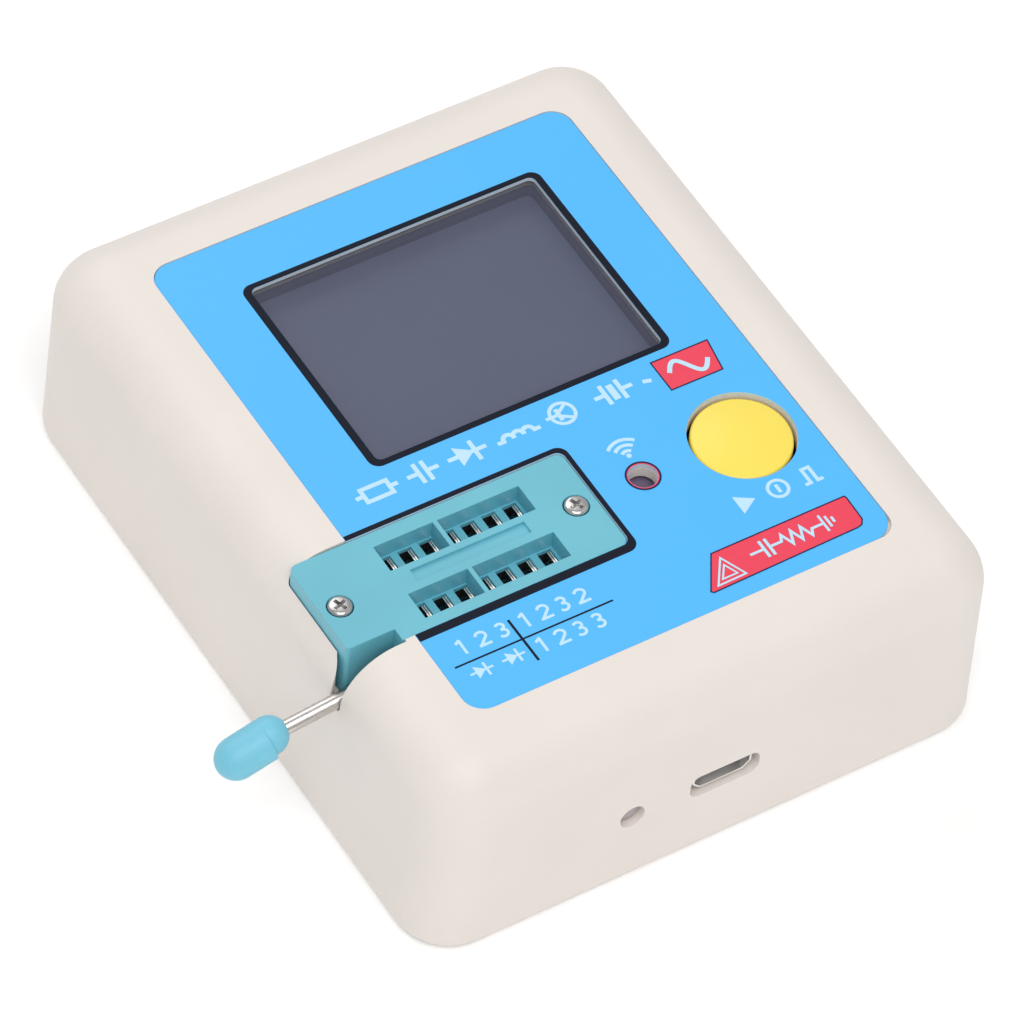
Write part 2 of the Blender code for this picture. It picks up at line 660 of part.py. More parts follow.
def make_stem():
    """The switch's stem, with a foot inside the switch and a square head in the button."""
    x, y = BUTTON_CENTRE
    foot = BOARD_TOP + SWITCH_FLOOR + GAP + BUTTON_TRAVEL + STEM_SLACK
    shoulder = BOARD_TOP + SWITCH_HEIGHT
    profile = [(STEM_FOOT_RADIUS, foot), (STEM_FOOT_RADIUS, shoulder), (STEM_RADIUS, shoulder)]
    bm = bmesh.new()
    add_turned(bm, profile + [(STEM_RADIUS, BUTTON_SKIRT - GAP)], 20)
    stem = finish("start_switch_stem", bm, "black_plastic", 40)
    half = STEM_HEAD_HALF
    tip = rectangle(-half, -half, half, half)
    head = solid("stem_head_shape", tip, BUTTON_SKIRT - STEM_HEAD[0], BUTTON_SKIRT + STEM_HEAD[1], None)
    head.parent = stem
    combine(stem, "UNION", head)
    stem.location = (x, y, 0.0)


# ---------------------------------------------------------------- test socket

def hole_columns():
    """Left edge of each column of contact holes."""
    return [HOLE_X0 + HOLE_PITCH * i for i in range(COLUMNS)]


def add_window(bm, low_x, high_x, middle_y, half_y, low_z, high_z):
    add_box(bm, (low_x, middle_y - half_y, low_z), (high_x, middle_y + half_y, high_z))


def socket_room(side):
    """Low and high corner, in plan, of the room under the cover, less a margin on each side."""
    low = (SOCKET_X[0] + COVER_SIDE + side, NOTCH_Y + COVER_SIDE + side)
    high = (SOCKET_X[1] - SLIDER_END - side, SOCKET_Y[1] - COVER_SIDE - side)
    return low, high


def make_socket_cover():
    outline = socket_outline()
    low = SOCKET_SPLIT + GAP / 2
    floor = SOCKET_TOP - TROUGH_DEPTH
    bm = bmesh.new()
    rings = [level(outline, low), level(outline, SOCKET_TOP - SOCKET_RIM)]
    add_loft(bm, rings + [level(socket_outline(SOCKET_RIM), SOCKET_TOP)])
    cover = finish("socket_cover", bm, "socket_plastic")
    bm = bmesh.new()
    room_low, room_high = socket_room(0.0)
    add_box(bm, (*room_low, low - OVERSHOOT), (*room_high, floor - COVER_FLOOR))
    combine(cover, "DIFFERENCE", finish("cover_room_cutter", bm, None))
    combine(cover, "DIFFERENCE", make_trough_cutter(floor))
    bm = bmesh.new()
    for middle in ROW_MIDDLES:
        for left in hole_columns():
            add_window(bm, left, left + HOLE_SIZE[0], middle, HOLE_SIZE[1] / 2, low, floor + HOLE_OVERCUT)
    combine(cover, "DIFFERENCE", finish("cover_hole_cutter", bm, None))
    combine(cover, "DIFFERENCE", make_shaft_cutter())


def make_trough_cutter(floor):
    """The four troughs, the middle recess and the screw seats, cut from the cover's top."""
    top = SOCKET_TOP + OVERSHOOT
    bm = bmesh.new()
    spans = ((TROUGH_X[0], DIVIDER_X - DIVIDER_WIDTH / 2), (DIVIDER_X + DIVIDER_WIDTH / 2, TROUGH_X[1]))
    for middle in ROW_MIDDLES:
        for left, right in spans:
            add_window(bm, left, right, middle, TROUGH_Y / 2, floor, top)
    x, y = RECESS_CENTRE
    half_x, half_y = RECESS_SIZE[0] / 2, RECESS_SIZE[1] / 2
    add_window(bm, x - half_x, x + half_x, y, half_y, SOCKET_TOP - RECESS_DEPTH, top)
    seat, bore = SOCKET_SCREW["head"] + GAP / 2, SOCKET_SCREW["shank"] + GAP
    ledge = SOCKET_TOP - SOCKET_SCREW_SINK - GAP
    profile = [(bore, SOCKET_SPLIT - OVERSHOOT), (bore, ledge), (seat, ledge), (seat, top)]
    for screw_x in SOCKET_SCREW_X.values():
        add_turned(bm, profile, 20, (screw_x, SOCKET_MID_Y))
    return finish("trough_cutter", bm, None)


def make_shaft_cutter():
    """The channel in the cover for the lever's shaft, with a round top, open to the base."""
    reach = ROD_RADIUS + GAP
    outline = arc((LEVER_X, LEVER_Z), reach, 0, 180, 10)
    outline += [(LEVER_X - reach, SOCKET_SPLIT - OVERSHOOT), (LEVER_X + reach, SOCKET_SPLIT - OVERSHOOT)]
    bm = bmesh.new()
    ends = (SOCKET_Y[0] - OVERSHOOT, SHAFT_END_Y + GAP)
    add_loft(bm, [[(x, y, z) for x, z in outline] for y in ends])
    return finish("shaft_cutter", bm, None)


def contact_places():
    """Left edge of each contact's leaves, and the middle of its row."""
    return [(left + LEAF_OFFSET, middle) for middle in ROW_MIDDLES for left in hole_columns()]


def make_contacts():
    """Fourteen spring contacts: two leaves on a foot, with a tail through the board."""
    outline = [
        (0.0, CONTACT_FOOT), (LEAF_PAIR, CONTACT_FOOT), (LEAF_PAIR, LEAF_TOP), (LEAF_PAIR - LEAF, LEAF_TOP),
        (LEAF_PAIR - LEAF, CONTACT_BRIDGE), (LEAF, CONTACT_BRIDGE), (LEAF, LEAF_TOP), (0.0, LEAF_TOP),
    ]
    tail_x = (LEAF_PAIR - PIN_SIDE * 0.8) / 2
    for number, (left, middle) in enumerate(contact_places(), 1):
        bm = bmesh.new()
        add_loft(bm, [[(x, y, z) for x, z in outline] for y in (-LEAF_HALF_Y, LEAF_HALF_Y)])
        contact = finish(f"socket_contact_{number:02d}", bm, "contact_metal")
        bm = bmesh.new()
        low = (tail_x, -PIN_SIDE / 2, PIN_END)
        add_box(bm, low, (LEAF_PAIR - tail_x, PIN_SIDE / 2, CONTACT_FOOT + PIN_SIDE))
        tail = finish(f"tail_shape_{number:02d}", bm, None)
        tail.parent = contact
        combine(contact, "UNION", tail)
        contact.location = (left, middle, 0.0)


def make_socket_base():
    high = SOCKET_SPLIT - GAP / 2
    base = solid("socket_base", socket_outline(), BOARD_TOP, high, "socket_plastic")
    bm = bmesh.new()
    for left, middle in contact_places():
        add_window(bm, left - GAP, left + LEAF_PAIR + GAP, middle, LEAF_HALF_Y + GAP, BOARD_TOP - OVERSHOOT,
                   high + OVERSHOOT)
    screw_tip = SOCKET_TOP - SOCKET_SCREW_SINK - SOCKET_SCREW["length"] - GAP
    for screw_x in SOCKET_SCREW_X.values():
        bore = SOCKET_SCREW["shank"] + GAP
        add_cylinder(bm, (screw_x, SOCKET_MID_Y), bore, screw_tip, high + OVERSHOOT, 12)
    combine(base, "DIFFERENCE", finish("base_cutter", bm, None))


def make_socket_slider():
    """The plate that opens the contacts. The lever's cams push it along X."""
    (low_x, low_y), (high_x, high_y) = socket_room(GAP)
    plan = rectangle(low_x, low_y, high_x - SLIDER_TRAVEL, high_y)
    slider = solid("socket_slider", plan, *SLIDER_Z, "black_plastic")
    bm = bmesh.new()
    low, high = SLIDER_Z[0] - OVERSHOOT, SLIDER_Z[1] + OVERSHOOT
    for left, middle in contact_places():
        add_window(bm, left - SLIDER_TRAVEL - GAP, left + LEAF_PAIR + GAP, middle, LEAF_HALF_Y + GAP, low, high)
    cam_x = LEVER_X + CAM_OFFSET * math.sin(CAM_REST)
    reach = CAM_RADIUS + GAP / 2
    for low_y, high_y in CAM_SPANS:
        add_box(bm, (cam_x - reach, low_y - GAP, low), (cam_x + reach, high_y + GAP, high))
    screw_x = SOCKET_SCREW_X["left"]
    bore = SOCKET_SCREW["shank"] + GAP
    add_window(bm, screw_x - bore - SLIDER_TRAVEL, screw_x + bore, SOCKET_MID_Y, bore, low, high)
    combine(slider, "DIFFERENCE", finish("slider_cutter", bm, None))


# ---------------------------------------------------------------- lever

def arm_point(reach):
    """A point on the arm's centre line, measured from the lever's axis."""
    return Vector((-reach * math.cos(ARM_DIP), 0.0, -reach * math.sin(ARM_DIP)))


def tube_rings(path, radius, steps):
    """Rings of a round rod along a flat path of points in a plane that holds a fixed normal."""
    rings = []
    for i, point in enumerate(path):
        ahead = path[min(i + 1, len(path) - 1)] - path[max(i - 1, 0)]
        ahead.normalize()
        side = Vector((math.sin(ARM_DIP), 0.0, -math.cos(ARM_DIP)))
        other = ahead.cross(side)
        ring = []
        for x, y in arc((0.0, 0.0), radius, 0, 360, steps)[:-1]:
            ring.append(point + side * x + other * y)
        rings.append(ring)
    return rings


def make_lever():
    """A steel rod bent at a right angle: the shaft with two cams, and the arm."""
    along = arm_point(1.0).normalized()
    inward = Vector((0.0, 1.0, 0.0))
    path = [inward * (SHAFT_END_Y - ARM_Y)]
    for step in range(5):
        angle = math.radians(90 * step / 4)
        path.append(inward * ARM_BEND * (1 - math.sin(angle)) + along * ARM_BEND * (1 - math.cos(angle)))
    path.append(along * ARM_REACH)
    bm = bmesh.new()
    add_loft(bm, tube_rings(path, ROD_RADIUS, 12))
    rod = finish("lever_rod", bm, "tinned_metal", 40)
    bm = bmesh.new()
    for low_y, high_y in CAM_SPANS:
        add_cylinder(bm, (0.0, 0.0), CAM_RADIUS, low_y - ARM_Y, high_y - ARM_Y, 20)
    turn_to_y(bm, CAM_OFFSET * math.sin(CAM_REST), CAM_OFFSET * math.cos(CAM_REST))
    cams = finish("cam_shapes", bm, None)
    cams.parent = rod
    combine(rod, "UNION", cams)
    rod.location = (LEVER_X, ARM_Y, LEVER_Z)


def knob_rings():
    """Rings of the knob along its own Z: the neck at the rod's end, a small step, and the body."""
    half = KNOB_LENGTH / 2
    step_at = NECK_LENGTH - half
    rings = []
    for i in range(5):
        angle = math.radians(12 + 78 * i / 4)
        z = -half + NECK_CAP * (1 - math.cos(angle))
        rings.append(level(arc(NECK_SHIFT, NECK_RADIUS * math.sin(angle), 0, 360, 16)[:-1], z))
    rings.append(level(arc(NECK_SHIFT, NECK_RADIUS, 0, 360, 16)[:-1], step_at))
    rings.append(level(arc((0.0, 0.0), KNOB_RADIUS, 0, 360, 16)[:-1], step_at + GAP / 2))
    for i in range(6):
        angle = math.radians(90 - 80 * i / 5)
        z = half - KNOB_CAP * (1 - math.cos(angle))
        rings.append(level(arc((0.0, 0.0), KNOB_RADIUS * math.sin(angle), 0, 360, 16)[:-1], z))
    return rings


def make_knob():
    """A soft capsule on the end of the arm. Its local Z runs away from the lever's axis."""
    bm = bmesh.new()
    add_loft(bm, knob_rings())
    tilt = Matrix.Rotation(-math.pi / 2 - ARM_DIP - KNOB_DROOP, 4, "Y")
    place = Matrix.Translation(arm_point(KNOB_REACH) + Vector((0.0, 0.0, -KNOB_SINK)))
    bmesh.ops.transform(bm, matrix=place @ tilt, verts=bm.verts)
    knob = finish("lever_knob", bm, "knob_vinyl", 40)
    bm = bmesh.new()
    along = arm_point(1.0).normalized()
    path = [along * KNOB_BORE_START, along * (ARM_REACH + GAP)]
    add_loft(bm, tube_rings(path, ROD_RADIUS + GAP, 12))
    cutter = finish("knob_bore_cutter", bm, None)
    cutter.parent = knob
    combine(knob, "DIFFERENCE", cutter)
    knob.location = (LEVER_X, ARM_Y, LEVER_Z)


# ---------------------------------------------------------------- boards and electronics

def board_outline():
    half_x, half_y, notch = BOARD_X / 2, BOARD_Y / 2, BOARD_NOTCH
    return [
        (-half_x + notch, -half_y), (half_x - notch, -half_y), (half_x - notch, -half_y + notch),
        (half_x, -half_y + notch), (half_x, half_y - notch), (half_x - notch, half_y - notch),
        (half_x - notch, half_y), (-half_x + notch, half_y), (-half_x + notch, half_y - notch),
        (-half_x, half_y - notch), (-half_x, -half_y + notch), (-half_x + notch, -half_y + notch),
    ]


def ir_lead_places():
    x, y = IR_CENTRE
    return [(x + i * PIN_PITCH * 0.9, y - 0.0028) for i in (-1, 0, 1)]


def make_main_board():
    board = solid("main_board", board_outline(), *BOARD_Z, "board_laminate")
    bm = bmesh.new()
    low, high = BOARD_Z[0] - OVERSHOOT, BOARD_Z[1] + OVERSHOOT
    pins = [(left + LEAF_PAIR / 2, middle) for left, middle in contact_places()]
    pins += [(HEADER_X, y) for y in header_rows()]
    pins += ir_lead_places() + switch_leg_places()
    half = PIN_SIDE / 2 + GAP * 0.8
    for x, y in pins:
        add_box(bm, (x - half, y - half, low), (x + half, y + half, high))
    for centre in BOARD_SCREWS:
        add_cylinder(bm, centre, BOARD_SCREW["shank"] + GAP, low, high, 12)
    combine(board, "DIFFERENCE", finish("board_cutter", bm, None))


def make_ir_receiver():
    """A moulded receiver that looks up through its hole, on three leads."""
    x, y = IR_CENTRE
    half = IR_BODY_HALF
    plan = chamfered(x - half, y - half, x + half, y + half, 0.0006)
    body = solid("ir_receiver", plan, *IR_BODY_Z, "black_plastic")
    bm = bmesh.new()
    side_z, top_z = IR_DOME_Z
    dome = [(IR_DOME_RADIUS, IR_BODY_Z[1] - OVERSHOOT)]
    for i in range(6):
        angle = math.radians(90 * i / 6)
        dome.append((IR_DOME_RADIUS * math.cos(angle), side_z + (top_z - side_z) * math.sin(angle)))
    add_turned(bm, dome, 20, IR_CENTRE)
    combine(body, "UNION", finish("ir_dome_shape", bm, None))
    bm = bmesh.new()
    for lead_x, lead_y in ir_lead_places():
        add_pin(bm, lead_x, lead_y, 0.0210)
    combine(body, "UNION", finish("ir_lead_shapes", bm, None))


def make_chip(name, centre, size, low_z, slot, leads=0):
    """A flat package with its rows of leads on the two long sides."""
    x, y = centre
    half_x, half_y = size[0] / 2, size[1] / 2
    chip = solid(name, rectangle(x - half_x, y - half_y, x + half_x, y + half_y), low_z,
                 low_z + size[2], slot)
    if not leads:
        return
    bm = bmesh.new()
    for i in range(leads):
        lead_x = x + (i - (leads - 1) / 2) * size[0] / leads
        middle = low_z + size[2] * 0.45
        low = (lead_x - 0.0002, y - half_y - 0.0008, middle)
        add_box(bm, low, (lead_x + 0.0002, y + half_y + 0.0008, middle + 0.0003))
    combine(chip, "UNION", finish(name + "_lead_shapes", bm, None))


def make_electronics():
    make_chip("microcontroller", (0.0190, -0.0300), (0.0070, 0.0070, 0.0011), BOARD_TOP, "black_plastic", 7)
    make_chip("voltage_reference", (0.0080, -0.0300), (0.0049, 0.0039, 0.0014), BOARD_TOP, "black_plastic", 4)
    make_chip("charger_chip", (0.0110, -0.0330), (0.0049, 0.0039, 0.0014), BOARD_UNDER - 0.0014,
              "black_plastic", 4)
    bm = bmesh.new()
    outline = rounded(0.0105, 0.0042, 0.0020, 5, (0.0190, -0.0372))
    add_prism(bm, outline, BOARD_TOP, BOARD_TOP + 0.0034)
    finish("crystal", bm, "tinned_metal", 40)
    bm = bmesh.new()
    profile = [(0.0026, BOARD_UNDER - 0.0030), (0.0026, BOARD_UNDER - 0.0026), (0.0020, BOARD_UNDER - 0.0022),
               (0.0020, BOARD_UNDER - 0.0008), (0.0026, BOARD_UNDER - 0.0004), (0.0026, BOARD_UNDER)]
    add_turned(bm, profile, 16, (0.0200, -0.0300))
    finish("boost_inductor", bm, "black_plastic", 40)


def make_usb_connector():
    """The charging port's metal shell, open at the front, with its tongue inside."""
    width, height, length = USB_SHELL
    front = -CASE_Y / 2 + 0.0008
    low, high = USB_Z - height / 2, USB_Z + height / 2
    outline = [
        (-width / 2, high), (-width / 2, low + 0.0010), (-width / 2 + 0.0010, low),
        (width / 2 - 0.0010, low), (width / 2, low + 0.0010), (width / 2, high),
    ]
    skin = 0.0003
    mouth = [
        (-width / 2 + skin, high - skin), (-width / 2 + skin, low + 0.0011), (-width / 2 + 0.0011, low + skin),
        (width / 2 - 0.0011, low + skin), (width / 2 - skin, low + 0.0011), (width / 2 - skin, high - skin),
    ]
    deep = front + length - 0.0008
    bm = bmesh.new()
    rings = [[(x + USB_X, front + length, z) for x, z in outline], [(x + USB_X, front, z) for x, z in outline],
             [(x + USB_X, front, z) for x, z in mouth], [(x + USB_X, deep, z) for x, z in mouth]]
    add_loft(bm, rings)
    port = finish("usb_connector", bm, "tinned_metal")
    bm = bmesh.new()
    add_box(bm, (USB_X - 0.0020, front + 0.0012, USB_Z + 0.0001), (USB_X + 0.0020, deep + 0.0004, USB_Z + 0.0006))
    combine(port, "UNION", finish("tongue_shape", bm, None))


def make_charge_lamp():
    """A small lamp that lies behind its hole, with two leads up to the board."""
    bm = bmesh.new()
    dome = []
    for i in range(4):
        angle = math.radians(70 - 70 * i / 3)
        dome.append((LAMP_RADIUS * math.cos(angle), LAMP_FRONT_Y - LAMP_TIP * math.sin(angle)))
    flange, flange_front, flange_back = LAMP_FLANGE
    profile = dome + [(LAMP_RADIUS, flange_front), (flange, flange_front), (flange, flange_back)]
    add_turned(bm, profile, 12)
    turn_to_y(bm, LAMP_X, LAMP_Z)
    lamp = finish("charge_lamp", bm, "lamp_resin", 40)
    bm = bmesh.new()
    half = PIN_SIDE / 2
    for side in (-1, 1):
        x = LAMP_X + side * PIN_PITCH / 2
        add_box(bm, (x - half, -0.0388, LAMP_Z - half), (x + half, -0.0370, LAMP_Z + half))
    combine(lamp, "UNION", finish("lamp_lead_shapes", bm, None))


# ---------------------------------------------------------------- battery

def make_battery():
    x, y = BATTERY_CENTRE
    size_x, size_y, thick = BATTERY_SIZE
    edge = 0.0015
    full, slim = rounded(size_x, size_y, 0.0020, 4, BATTERY_CENTRE), rounded(
        size_x - edge, size_y - edge, 0.0016, 4, BATTERY_CENTRE)
    low, high = BATTERY_Z, BATTERY_Z + thick
    bm = bmesh.new()
    rings = [level(slim, low), level(full, low + edge / 2), level(full, high - edge / 2), level(slim, high)]
    add_loft(bm, rings)
    finish("battery_cell", bm, "cell_foil", 40)
    front = y - size_y / 2 - GAP
    plan = rectangle(x - size_x / 2 + 0.0040, front - 0.0034, x + size_x / 2 - 0.0040, front)
    solid("battery_board", plan, low + 0.0020, low + 0.0036, "board_laminate")
    make_battery_plug()
    for side, name, slot in ((-1, "battery_lead_black", "lead_black"), (1, "battery_lead_red", "lead_red")):
        make_lead(name, side, slot)


def make_battery_plug():
    """The board's socket for the battery, and the plug in it, which points to the front."""
    x, y = PLUG_CENTRE
    high = BOARD_UNDER
    socket = solid("battery_socket", rectangle(x - 0.0040, y - 0.0062, x + 0.0040, y), high - 0.0052, high,
                   "white_plastic")
    pocket = rectangle(x - 0.0032, y - 0.0050, x + 0.0032, y + OVERSHOOT)
    cutter = solid("battery_pocket_cutter", pocket, PLUG_Z - 0.0017, PLUG_Z + 0.0017, None)
    combine(socket, "DIFFERENCE", cutter)
    plug = rectangle(x - 0.0029, y - 0.0047, x + 0.0029, y + 0.0024)
    solid("battery_plug", plug, PLUG_Z - 0.0014, PLUG_Z + 0.0014, "white_plastic")


def make_lead(name, side, slot):
    """One insulated lead, from the plug down to the cell's small board."""
    start = Vector((PLUG_CENTRE[0] + side * LEAD_SPACING / 2, PLUG_CENTRE[1] + 0.0024 + GAP, PLUG_Z))
    end = Vector((BATTERY_CENTRE[0] - 0.0050 + side * LEAD_SPACING / 2,
                  BATTERY_CENTRE[1] - BATTERY_SIZE[1] / 2 - 0.0034 - 2 * GAP, BATTERY_Z + 0.0028))
    out_of_plug = start + Vector((0.0, LEAD_HANDLE, 0.0))
    into_board = end - Vector((0.0, LEAD_HANDLE, 0.0))
    points = []
    count = 14
    for i in range(count + 1):
        t = i / count
        s = 1 - t
        point = start * s ** 3 + out_of_plug * 3 * s * s * t + into_board * 3 * s * t * t + end * t ** 3
        points.append(point)
    curve = bpy.data.curves.new(name, "CURVE")
    curve.dimensions = "3D"
    curve.bevel_depth = LEAD_RADIUS
    curve.bevel_resolution = 2
    curve.use_fill_caps = True
    spline = curve.splines.new("POLY")
    spline.points.add(len(points) - 1)
    for slot_point, point in zip(spline.points, points):
        slot_point.co = (*point, 1.0)
    lead = bpy.data.objects.new(name, curve)
    curve.materials.append(material(slot))
    bpy.context.scene.collection.objects.link(lead)


def main():
    clear_scene()
    make_top_shell()
    make_bottom_cover()
    make_screws()
    make_front_label()
    make_display()
    make_lcd_fittings()
    make_button()
    make_switch()
    make_stem()
    make_socket_cover()
    make_socket_base()
    make_socket_slider()
    make_contacts()
    make_lever()
    make_knob()
    make_main_board()
    make_ir_receiver()
    make_electronics()
    make_usb_connector()
    make_charge_lamp()
    make_battery()


main()
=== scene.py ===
"""Component tester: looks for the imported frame, a pale studio floor, soft lights and a camera.

Everything is in metres in the row frame: +X along the reading direction of the front panel, +Y to the
display's end, +Z out of the panel. Sizes in mm are multiplied by MM.
"""

import json
import math

import bmesh
import bpy
from mathutils import Matrix, Vector


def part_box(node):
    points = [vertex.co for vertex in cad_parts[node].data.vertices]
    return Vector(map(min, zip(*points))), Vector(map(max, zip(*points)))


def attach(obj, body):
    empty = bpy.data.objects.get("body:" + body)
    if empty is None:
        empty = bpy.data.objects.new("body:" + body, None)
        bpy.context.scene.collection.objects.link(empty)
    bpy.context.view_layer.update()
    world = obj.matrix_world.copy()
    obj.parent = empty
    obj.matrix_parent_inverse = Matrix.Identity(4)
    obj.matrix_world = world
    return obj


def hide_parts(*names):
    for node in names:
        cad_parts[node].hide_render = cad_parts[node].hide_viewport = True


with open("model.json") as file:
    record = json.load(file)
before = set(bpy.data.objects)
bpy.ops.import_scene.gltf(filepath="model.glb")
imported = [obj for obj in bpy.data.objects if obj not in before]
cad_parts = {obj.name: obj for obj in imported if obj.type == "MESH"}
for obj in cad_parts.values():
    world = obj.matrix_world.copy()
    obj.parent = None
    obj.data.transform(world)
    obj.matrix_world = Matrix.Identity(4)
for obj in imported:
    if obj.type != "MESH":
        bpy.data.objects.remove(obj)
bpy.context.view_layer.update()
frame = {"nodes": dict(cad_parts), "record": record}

MM = 0.001
NODES = frame["nodes"]

# ---- sizes from the frame

SHELL_LOW, SHELL_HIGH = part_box("top_shell")
LABEL_LOW, LABEL_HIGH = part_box("front_label")
LABEL_SIZE = (LABEL_HIGH.x - LABEL_LOW.x, LABEL_HIGH.y - LABEL_LOW.y)
WINDOW_LOW, WINDOW_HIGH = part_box("display_window")
WINDOW_SIZE = (WINDOW_HIGH.x - WINDOW_LOW.x, WINDOW_HIGH.y - WINDOW_LOW.y)
COVER_LOW, COVER_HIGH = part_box("socket_cover")
GLASS_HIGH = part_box("lcd_glass")[1]
RECEIVER_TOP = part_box("ir_receiver")[1].z
BUTTON_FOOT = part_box("start_button")[0].z
SHAFT_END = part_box("lever_rod")[1].y

TOP = SHELL_HIGH.z
OVER = TOP + 1.0 * MM        # top of the bodies that cut holes from above
CASE_X = SHELL_HIGH.x - SHELL_LOW.x
CASE_Y = SHELL_HIGH.y - SHELL_LOW.y

CASE_CORNER = 6.2 * MM
CASE_DRAFT = 0.45 * MM
CASE_ROUNDING = 6.8 * MM
CASE_FOOT = 1.2 * MM
CROWN_CORNER = 1.2 * MM
WALL = 2.0 * MM
PANEL_FLOOR = TOP - 0.6 * MM
HOLE_FOOT = TOP - 4.0 * MM   # low end of the holes through the shell's top
POCKET_GAP = 0.1 * MM        # round the window and the view through it

INK = 0.03 * MM              # thickness of the printing on the film
FILM_TOP = LABEL_HIGH.z - 2 * INK
FILM_CORNER = 2.5 * MM
FILM_GAP = 0.05 * MM
FILM_OPENING_GAP = 0.05 * MM

WINDOW_CENTRE = (0.0, 13.4 * MM)
VIEW_CENTRE = (0.19 * MM, 13.39 * MM)
VIEW_SIZE = (36.36 * MM, 27.44 * MM)
VIEW_CORNER = 0.8 * MM

SOCKET_X = (-33.9 * MM, 0.2 * MM)
SOCKET_Y = (-22.5 * MM, -8.3 * MM)
SOCKET_MIDDLE = -15.45 * MM
SOCKET_CORNER = 1.0 * MM
NOTCH = (-28.1 * MM, -20.8 * MM)
NOTCH_CORNER = 0.5 * MM
SOCKET_SPLIT = 19.7 * MM
OPENING_GAP = 0.12 * MM      # between the socket and the shell
TROUGH_X = (-24.4 * MM, -6.3 * MM)
TROUGH_DEPTH = 2.4 * MM
TROUGH_HALF = 1.8 * MM
ROW_MIDDLES = (-19.2 * MM, -12.0 * MM)
DIVIDER = (-17.055 * MM, -16.485 * MM)
HOLE_START = -24.05 * MM     # left end of each row's first hole
HOLE_PITCH = 2.62 * MM
HOLE_SIZE = (1.72 * MM, 3.2 * MM)
RECESS = ((-22.54 * MM, -16.28 * MM), (-8.34 * MM, -14.68 * MM))
RECESS_DEPTH = 0.4 * MM
SLIDER_ROOM = ((-32.7 * MM, -19.6 * MM), (-4.0 * MM, -9.5 * MM))
SOCKET_SCREWS_X = (-31.63 * MM, -2.2 * MM)
SEAT_RADIUS = 1.5 * MM
SEAT_DEPTH = 0.85 * MM
SLOT_HALF = 1.0 * MM         # half width of the arm's slot in the case's side
SLOT_Z = 20.55 * MM          # middle of its round bottom
SLOT_FLARE = ((-34.0, -19.1), (-34.2, -19.45), (-34.45, -19.95), (-34.75, -20.40), (-35.05, -20.72),
              (-35.4, -20.92), (-35.8, -20.96), (-35.8, -21.4), (-34.0, -21.4))           # mm

BUTTON_CENTRE = (18.9 * MM, -15.6 * MM)
BUTTON_HOLE = 6.05 * MM
BUTTON_RADIUS = 5.70 * MM
IR_CENTRE = (6.3 * MM, -15.4 * MM)
IR_HOLE = 1.6 * MM
LAMP_PLACE = (-11.1 * MM, 10.7 * MM)
LAMP_HOLE = 1.55 * MM
PORT_PLACE = (0.6 * MM, 10.85 * MM)
PORT_HOLE = (8.8 * MM, 3.3 * MM, 1.2 * MM)

LEVER_AXIS = (-29.6 * MM, -21.95 * MM, 21.4 * MM)
ARM_DIP = math.radians(7.6)
ROD_RADIUS = 0.86 * MM
CAM_OFFSET = 0.57 * MM
CAM_REST = math.radians(-48.5)
CAMS_Y = ((-19.1 * MM, -16.9 * MM), (-13.9 * MM, -11.0 * MM))

# Screw posts in the shell, in mm: places, radius, (foot, top), and the bore's radius and (foot, top).
POSTS = (
    (((-30.0, -38.0), (30.0, -38.0), (-30.0, 38.0), (30.0, 38.0)), 3.3, (4.3, TOP / MM - 4.5), 1.6, (3.3, 12.8)),
    (((-29.0, -30.0), (29.0, -30.0), (-29.0, 27.0), (29.0, 27.0)), 2.6, (14.4, TOP / MM - 1.6), 1.3, (14.1, 18.5)),
)
SWAP_YZ = Matrix(((1, 0, 0, 0), (0, 0, 1, 0), (0, 1, 0, 0), (0, 0, 0, 1)))


# ---- node trees

